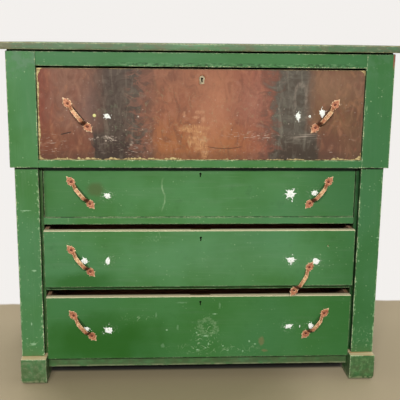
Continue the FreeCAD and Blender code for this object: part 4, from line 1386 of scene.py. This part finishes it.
class DRESSER_OT_frieze(bpy.types.Operator):
    """Stiles, rails and side boards of the frieze"""

    bl_idname = "dresser.frieze"
    bl_label = "Frieze"

    def execute(self, context):
        left, right = solid_boxes("frieze_stiles")
        upright = painted_wood("stile_paint", "Z", rub=0.7, bare=0.3, scuffed=1.2, extra=bare_corner)
        level = painted_wood("frieze_rail_paint", "X", rub=0.75, bare=0.12, extra=wrinkled_band)
        side = painted_wood("frieze_side_paint", "Y", rub=0.6, bare=0.5)
        rounding = context.scene.dresser_sizes.edge_rounding
        boards_piece("frieze_stiles", [left, right], (0, 1, 2), upright, 11)
        for name in ("frieze_top_rail", "frieze_bottom_rail"):
            low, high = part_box(name)
            low.x, high.x = left[1][0], right[0][0] + rounding
            if name == "frieze_bottom_rail":
                low.x -= rounding
            rail_piece(name, low, high, level, 17)
        boards_piece("frieze_sides", solid_boxes("frieze_sides"), (0, 1, 2), side, 23)
        return {"FINISHED"}


class DRESSER_OT_lower_frame(bpy.types.Operator):
    """Pilasters, front posts, dividers and base rail"""

    bl_idname = "dresser.lower_frame"
    bl_label = "Lower frame"

    def execute(self, context):
        upright = painted_wood("pilaster_paint", "Z", rub=0.9, bare=0.35, scuffed=1.2, extra=pilaster_marks)
        post = painted_wood("post_paint", "Z", rub=0.1, bare=0.0, seam=0.2, extra=painted_recess_shade)
        level = painted_wood("divider_paint", "X", rub=0.35, bare=0.12, extra=rail_dirt)
        for side in SIDES:
            for name, paint in (("pilaster_", upright), ("front_post_", post)):
                boards_piece(name + side, solid_boxes(name + side), (0, 1), paint, 31 + SIDES[side])
        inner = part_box("front_post_right")[0].x
        for seed, name in enumerate(("divider_rail_upper", "divider_rail_lower", "base_rail")):
            low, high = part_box(name)
            low.x, high.x = -inner, inner
            rail_piece(name, low, high, level, 37 + seed)
        return {"FINISHED"}


class DRESSER_OT_ends_and_back(bpy.types.Operator):
    """Rear posts, side rails, side panels, back boards, runners and guides"""

    bl_idname = "dresser.ends_and_back"
    bl_label = "Ends and back"

    def execute(self, context):
        upright = painted_wood("end_upright_paint", "Z", rub=0.7, bare=0.5)
        level = painted_wood("end_rail_paint", "Y", rub=0.7, bare=0.5)
        for name, seed in (("rear_posts", 43), ("side_panels", 47)):
            boards_piece(name, solid_boxes(name), (0, 1, 2), upright, seed)
        post_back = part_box("front_post_right")[1].y
        post_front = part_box("rear_posts")[0].y
        rails = []
        for low, high in solid_boxes("side_rails"):
            rails.append(((low[0], post_back, low[2]), (high[0], post_front, high[2])))
        boards_piece("side_rails", rails, (0, 2), level, 53)
        back = softwood("back_wood", "X", "back_wood", seams=0.85)
        boards_piece("back_boards", self.back_boxes(), (1, 2), back, 59, "back_wood")
        runner = softwood("runner_wood", "Y")
        for name in ("drawer_runners", "drawer_guides"):
            give_material(name, runner)
        return {"FINISHED"}

    def back_boxes(self):
        """Boxes of the back boards, from the corners of their outer faces, and of the laps between them."""
        low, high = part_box("back_boards")
        rows = sorted({(round(vertex.co.z, 5), round(abs(vertex.co.x), 5))
                       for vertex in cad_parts["back_boards"].data.vertices
                       if high.y - vertex.co.y < WELD})
        boxes = [((-half, low.y, bottom), (half, high.y, top))
                 for (bottom, _), (top, half) in zip(rows[::2], rows[1::2])]
        lap_back = (low.y + high.y) / 2
        for (top, half), (bottom, _) in zip(rows[1:-1:2], rows[2::2]):
            boxes.append(((SINK - half, low.y + SINK, top - OVERRUN),
                          (half - SINK, lap_back, bottom + OVERRUN)))
        return boxes


class DRESSER_OT_feet(bpy.types.Operator):
    """Front feet with rounded lower edges"""

    bl_idname = "dresser.feet"
    bl_label = "Feet"

    def execute(self, context):
        sizes = context.scene.dresser_sizes
        paint = painted_wood("foot_paint", "Z", rub=0.8, bare=0.7, extra=foot_ledge)
        for side, hand in SIDES.items():
            name = "front_foot_" + side
            piece = boards_piece(name, solid_boxes(name), (0, 1, 2), paint, 61 + hand, rounding=2 * mm)
            low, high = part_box(name)
            points = mesh_points(piece.data)
            outer = high.x if hand > 0 else low.x
            for block_low, block_high in solid_boxes(name):
                inside = (points[:, 0] >= block_low[0] - WELD) & (points[:, 0] <= block_high[0] + WELD)
                up = np.clip(sizes.foot_rounding - (points[:, 2] - block_low[2]), 0, None)
                inset = sizes.foot_rounding - np.sqrt(np.maximum(sizes.foot_rounding ** 2 - up ** 2, 0))
                front = inside & (points[:, 1] - low.y < inset)
                points[front, 1] = low.y + inset[front]
                end = inside & (hand * (outer - points[:, 0]) < inset)
                points[end, 0] = outer - hand * inset[end]
            move_points(piece.data, points)
        return {"FINISHED"}


class DRESSER_OT_drawer_fronts(bpy.types.Operator):
    """Drawer fronts with their keyholes, sockets and the empty screw hole"""

    bl_idname = "dresser.drawer_fronts"
    bl_label = "Drawer fronts"

    def execute(self, context):
        sizes = context.scene.dresser_sizes
        extras = {2: stains_and_shade_on_drawer_2, 3: marks_on_drawer_3, 4: marks_on_drawer_4}
        for number in DRAWERS:
            name = "drawer_%d" % number
            low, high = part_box(name + "_front")
            inset = Vector((SINK, 0, 0))
            points, quads = worn_block(low + inset, high - inset, sizes.edge_rounding, 71 + number, 0.7)
            front = new_piece("worn_" + name + "_front", points, quads)
            case = max(solid_boxes(name + "_lock"), key=lambda box: box[1][0] - box[0][0])
            key_x = (case[0][0] + case[1][0]) / 2
            key_z = high.z - KEYHOLE_DROPS[number]
            cutters = [welded_copy(name + "_side_left", "left_tails"),
                       welded_copy(name + "_side_right", "right_tails"),
                       self.pocket(case),
                       prism("keyhole", keyhole_corners(key_x, key_z, 0), low.y - OVERRUN,
                             case[0][1] + SINK)]
            if number == 1:
                cutters.append(prism("lining", keyhole_corners(key_x, key_z, sizes.keyhole_lining),
                                     low.y - OVERRUN, low.y + LINING_DEPTH))
            if number == 3:
                x, z = self.empty_hole()
                cutters.append(prism("hole", circle(x, z, sizes.screw_radius), low.y - OVERRUN,
                                     low.y + HOLE_DEPTH))
            cut_out(front, cutters)
            key = (key_x, key_z)
            finish_mesh(front, figured_veneer(key) if number == 1
                        else drawer_paint(number, key, extras[number]))
            store(front.data, wear_measures(mesh_points(front.data), np.array(low), np.array(high),
                                            (0, 1, 2)))
            put_on(front, name, "veneer" if number == 1 else "drawer_paint", name + "_front")
        return {"FINISHED"}

    def pocket(self, case):
        """Block that clears the room of a lock, open at the top and the back."""
        room = np.stack((case[0] - SINK, case[1] + SINK + (0, OVERRUN, OVERRUN)), axis=1)
        return new_piece("pocket", *block_shell(room))

    def empty_hole(self):
        """Where the loose pull's upper screw is missing."""
        sizes = bpy.context.scene.dresser_sizes
        x, _, z = sum(solid_boxes("drawer_3_pull_screws")[-1]) / 2
        return x + sizes.screw_spacing * math.cos(PULL_LEAN), z + sizes.screw_spacing * math.sin(PULL_LEAN)


class DRESSER_OT_drawer_boxes(bpy.types.Operator):
    """Sides, backs and bottoms of the drawers, and their locks"""

    bl_idname = "dresser.drawer_boxes"
    bl_label = "Drawer boxes"

    def execute(self, context):
        side = softwood("drawer_side_wood", "Y")
        across = softwood("drawer_back_wood", "X")
        brass = lock_brass()
        for number in DRAWERS:
            name = "drawer_%d_" % number
            for part in ("side_left", "side_right"):
                give_material(name + part, side)
            for part in ("back", "bottom"):
                give_material(name + part, across)
            for part in ("lock", "lock_bolt"):
                give_material(name + part, brass)
        return {"FINISHED"}


class DRESSER_OT_pulls(bpy.types.Operator):
    """Cast bow pulls and their slotted screws"""

    bl_idname = "dresser.pulls"
    bl_label = "Pulls"

    def execute(self, context):
        copper = cast_copper()
        rust = rusted_screw()
        for number in DRAWERS:
            name = "drawer_%d_" % number
            screws = solid_boxes(name + "pull_screws")
            heads = [((low[0] + high[0]) / 2, low[1], (low[2] + high[2]) / 2) for low, high in screws]
            for side, hand in SIDES.items():
                mine = [head for head in heads if head[0] * hand > 0]
                loose = number == 3 and side == "right"
                if loose:
                    mine.append(self.lost_screw(mine[0]))
                piece = self.cast_pull(name + "pull_" + side, mine, copper, 10 * number + hand)
                body = "loose_pull" if loose else "drawer_%d" % number
                put_on(piece, body, "pull_metal", name + "pull_" + side)
            self.screws(name, screws, rust, number)
        return {"FINISHED"}

    def lost_screw(self, head):
        """Place of the hanging pull's empty hole."""
        sizes = bpy.context.scene.dresser_sizes
        low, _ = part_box("drawer_3_pull_right")
        angle = math.atan2(head[2] - low.z, head[0] - low.x)
        return (head[0] - sizes.screw_spacing * math.cos(angle), head[1],
                head[2] - sizes.screw_spacing * math.sin(angle))

    def cast_pull(self, node, heads, material, seed):
        """Smoothed and hammered copy of a pull, dished round its screws."""
        sizes = bpy.context.scene.dresser_sizes
        piece = welded_copy(node, "cast_" + node)
        remesh = piece.modifiers.new("remesh", "REMESH")
        remesh.mode = "VOXEL"
        remesh.voxel_size = sizes.pull_voxel
        soften = piece.modifiers.new("soften", "SMOOTH")
        soften.factor = 0.5
        soften.iterations = 3
        keep_modifiers(piece)
        mesh = piece.data
        points = mesh_points(mesh)
        normals = np.zeros(len(points) * 3)
        mesh.vertices.foreach_get("normal", normals)
        normals = normals.reshape(-1, 3)
        uneven = value_noise(points, HAMMER_CELL, seed) - 0.5
        points += normals * (uneven * sizes.pull_hammer)[:, None]
        low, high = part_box(node)
        seat = np.zeros(len(points))
        facing = normals[:, 1] < -0.4
        rim = self.rim_share(points, normals)
        for x, _, z in heads:
            away = np.hypot(points[:, 0] - x, points[:, 2] - z)
            dish = np.clip(1 - away / sizes.dish_radius, 0, 1)
            near = facing & (high.y - points[:, 1] < SEAT_REACH)
            points[near, 1] += sizes.dish_depth * np.sqrt(dish[near])
            seat = np.maximum(seat, np.where(near, np.clip(2.2 * dish - 0.4, 0, 1), 0))
        points[:, 1] -= RIM_RISE * np.where(facing, rim, 0) * (seat < 0.1)
        points[:, 1] = np.clip(points[:, 1], low.y, high.y)
        upper, lower = sorted(heads, key=lambda head: -head[2])
        run = np.array(upper)[[0, 2]] - np.array(lower)[[0, 2]]
        middle = (np.array(upper)[[0, 2]] + np.array(lower)[[0, 2]]) / 2
        along = (points[:, [0, 2]] - middle) @ run / (run @ run) * 2
        move_points(mesh, points)
        side = np.clip(1 + normals[:, 1] * 1.6, 0, 1)
        store(mesh, {"seat": seat, "rim": rim, "along": along, "side": side})
        finish_mesh(piece, material)
        return piece

    def rim_share(self, points, normals):
        """How near each point of the front is to the rim, from 1 at the rim to 0 inside."""
        front = normals[:, 1] < -0.55
        tree = kdtree.KDTree(int((~front).sum()))
        for index, place in enumerate(points[~front]):
            tree.insert(place, index)
        tree.balance()
        width = bpy.context.scene.dresser_sizes.pull_rim
        share = np.zeros(len(points))
        for index in np.flatnonzero(front):
            share[index] = max(0.0, 1 - tree.find(points[index])[2] / width)
        return share

    def screws(self, name, boxes, material, number):
        """Slotted screws of one drawer, turned to different angles."""
        sizes = bpy.context.scene.dresser_sizes
        chance = random.Random(number)
        pieces = []
        for low, high in boxes:
            x, z = (low[0] + high[0]) / 2, (low[2] + high[2]) / 2
            head, shank, top = sizes.screw_head, sizes.screw_radius, low[1]
            profile = [(0, -0.3 * mm), (0.5 * head, -0.25 * mm), (0.92 * head, 0.0), (head, 0.25 * mm),
                       (shank, head - shank + 0.3 * mm), (shank, high[1] - top), (0, high[1] - top)]
            screw = lathe("screw", profile, (x, top, z), 20)
            slot = slot_cutter(x, top, z, head, chance.uniform(0, math.pi))
            cut_out(screw, [slot])
            pieces.append(screw)
        whole = join_pieces(name + "slotted_screws", pieces)
        finish_mesh(whole, material)
        put_on(whole, "drawer_%d" % number, "screw_metal", name + "pull_screws")


class DRESSER_OT_filler(bpy.types.Operator):
    """White dabs of filler beside the pulls"""

    bl_idname = "dresser.filler"
    bl_label = "Filler"

    def execute(self, context):
        material = white_filler()
        dabs = {
            1: ((-307.0, 815.5, 4.6, 4.6, 0.04, ()), (-271.0, 813.5, 8.0, 6.5, 0.35, (2.6, 5.6)),
                (276.0, 816.0, 7.0, 9.5, 0.5, (1.4, 3.4, 4.9)), (309.6, 816.0, 3.6, 3.8, 0.08, ()),
                (346.0, 825.0, 8.0, 10.0, 0.4, (1.9, 2.6))),
            2: ((-276.0, 575.5, 9.5, 7.5, 0.4, (2.4, 3.3, 5.8)),
                (268.5, 581.0, 12.5, 11.5, 0.45, (0.1, 1.0, 2.4, 3.1, 4.0, 5.1)),
                (341.5, 583.5, 9.0, 8.5, 0.25, (2.7,)), (274.0, 558.5, 1.8, 3.0, 0.2, ())),
            3: ((-344.0, 386.0, 8.5, 10.0, 0.35, (2.0,)), (-275.5, 385.0, 6.5, 11.0, 0.3, (1.2,)),
                (271.0, 385.0, 10.5, 9.5, 0.45, (0.1, 2.7, 4.7)), (347.0, 381.0, 10.5, 9.5, 0.25, (0.1,))),
            4: ((-345.0, 167.0, 9.0, 8.0, 0.4, (0.4,)), (-277.0, 164.0, 11.0, 10.0, 0.4, (2.6, 5.3)),
                (273.0, 170.5, 10.0, 6.5, 0.45, (0.6, 3.4)), (307.5, 170.0, 1.8, 4.0, 0.2, ()),
                (342.0, 171.0, 8.0, 8.5, 0.3, (1.4,))),
        }
        for number, places in dabs.items():
            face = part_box("drawer_%d_front" % number)[0].y
            pieces = []
            chance = random.Random(100 + number)
            for index, (x, z, half_x, half_z, ragged, spikes) in enumerate(places):
                pieces.append(self.dab((x * mm, face, z * mm), (half_x * mm, half_z * mm), ragged, spikes,
                                       10 * number + index))
                for _ in range(round(9 * ragged) if ragged > 0.2 else 0):
                    angle, far = chance.uniform(0, math.tau), chance.uniform(1.25, 1.9)
                    spot = ((x + half_x * far * math.cos(angle)) * mm, face,
                            (z + half_z * far * math.sin(angle)) * mm)
                    size = chance.uniform(0.5, 1.3) * mm
                    pieces.append(self.dab(spot, (size, size * chance.uniform(0.7, 1.4)), 0.2, (),
                                           chance.randrange(1000)))
            whole = join_pieces("drawer_%d_filler" % number, pieces)
            finish_mesh(whole, material)
            put_on(whole, "drawer_%d" % number, "drawer_paint")
        return {"FINISHED"}

    def dab(self, place, halves, ragged, spikes, seed):
        """Thin uneven dab with an irregular rim, pressed onto the front."""
        sizes = bpy.context.scene.dresser_sizes
        chance = random.Random(seed)
        turns, rings = (72, 7) if max(halves) > 2 * mm else (16, 3)
        waves = [(chance.uniform(0.3, 1.0) / order ** 0.7, chance.uniform(0, math.tau))
                 for order in range(2, 15)]
        angles = [math.tau * index / turns for index in range(turns)]
        rim = []
        for angle in angles:
            uneven = sum(size * math.sin(order * angle + phase)
                         for order, (size, phase) in enumerate(waves, start=2))
            spike = sum(math.exp(-(math.remainder(angle - at, math.tau) / 0.10) ** 2) for at in spikes)
            rim.append(max(0.35, 1 + ragged * (0.6 * uneven + 1.7 * spike)))
        points = [(place[0], place[1] - sizes.filler_height, place[2])]
        for ring in range(1, rings + 1):
            share = ring / rings
            for angle, reach in zip(angles, rim):
                lift = sizes.filler_height * (1 - share ** 3) * chance.uniform(0.75, 1.0)
                if ring == rings:
                    lift = -SINK
                points.append((place[0] + halves[0] * reach * share * math.cos(angle), place[1] - lift,
                               place[2] + halves[1] * reach * share * math.sin(angle)))
        points.append((place[0], place[1] + SINK, place[2]))
        return new_piece("dab", points, fan_faces(turns, rings, True))


def give_material(node, material):
    """Put a finish on one of the model's own nodes."""
    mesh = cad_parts[node].data
    mesh.materials.clear()
    mesh.materials.append(material)


def lathe(name, profile, place, count):
    """Turned shape about an axis along Y, from radius and depth pairs that start and end on the axis."""
    points = [(place[0], place[1] + profile[0][1], place[2])]
    for radius, depth in profile[1:-1]:
        for x, z in circle(place[0], place[2], radius, count=count):
            points.append((x, place[1] + depth, z))
    points.append((place[0], place[1] + profile[-1][1], place[2]))
    return new_piece(name, points, fan_faces(count, len(profile) - 2, True))


def slot_cutter(x, y, z, head, angle):
    """Block that cuts a screw's slot across its head."""
    half_width, depth = 0.45 * mm, 0.9 * mm
    points, quads = block_shell([np.array((-1.2 * head, 1.2 * head)), np.array((-OVERRUN, depth)),
                                 np.array((-half_width, half_width))])
    turn = np.array(Matrix.Rotation(angle, 3, "Y"))
    return new_piece("slot", points @ turn.T + np.array((x, y, z)), quads)


def join_pieces(name, pieces):
    """One object from the meshes of several."""
    points, faces, count = [], [], 0
    for piece in pieces:
        points.append(mesh_points(piece.data))
        faces.extend([tuple(count + vertex for vertex in face.vertices) for face in piece.data.polygons])
        count += len(piece.data.vertices)
        bpy.data.objects.remove(piece)
    return new_piece(name, np.concatenate(points), faces)


class DRESSER_PT_panel(bpy.types.Panel):
    """Buttons and settings of the dresser"""

    bl_idname = "DRESSER_PT_panel"
    bl_label = "Dresser"
    bl_space_type = "VIEW_3D"
    bl_region_type = "UI"
    bl_category = "Dresser"

    def draw(self, context):
        for operator in OPERATORS:
            self.layout.operator(operator.bl_idname)
        for group in (context.scene.dresser_sizes, context.scene.dresser_colours,
                      context.scene.dresser_light):
            box = self.layout.box()
            for name in group.bl_rna.properties.keys():
                if name not in ("rna_type", "name"):
                    box.prop(group, name)


OPERATORS = (
    DRESSER_OT_stage,
    DRESSER_OT_top_board,
    DRESSER_OT_frieze,
    DRESSER_OT_lower_frame,
    DRESSER_OT_ends_and_back,
    DRESSER_OT_feet,
    DRESSER_OT_drawer_fronts,
    DRESSER_OT_drawer_boxes,
    DRESSER_OT_pulls,
    DRESSER_OT_filler,
)
CLASSES = (DresserSizes, DresserColours, DresserLight, *OPERATORS, DRESSER_PT_panel)


def register():
    """Add the classes and settings to Blender."""
    for item in CLASSES:
        bpy.utils.register_class(item)
    bpy.types.Scene.dresser_sizes = bpy.props.PointerProperty(type=DresserSizes)
    bpy.types.Scene.dresser_colours = bpy.props.PointerProperty(type=DresserColours)
    bpy.types.Scene.dresser_light = bpy.props.PointerProperty(type=DresserLight)


def unregister():
    """Take the classes and settings out of Blender."""
    del bpy.types.Scene.dresser_sizes
    del bpy.types.Scene.dresser_colours
    del bpy.types.Scene.dresser_light
    for item in reversed(CLASSES):
        bpy.utils.unregister_class(item)


def main():
    """Build the whole dresser."""
    register()
    bpy.ops.dresser.stage()
    bpy.ops.dresser.top_board()
    bpy.ops.dresser.frieze()
    bpy.ops.dresser.lower_frame()
    bpy.ops.dresser.ends_and_back()
    bpy.ops.dresser.feet()
    bpy.ops.dresser.drawer_fronts()
    bpy.ops.dresser.drawer_boxes()
    bpy.ops.dresser.pulls()
    bpy.ops.dresser.filler()


if __name__ == "__main__":
    main()
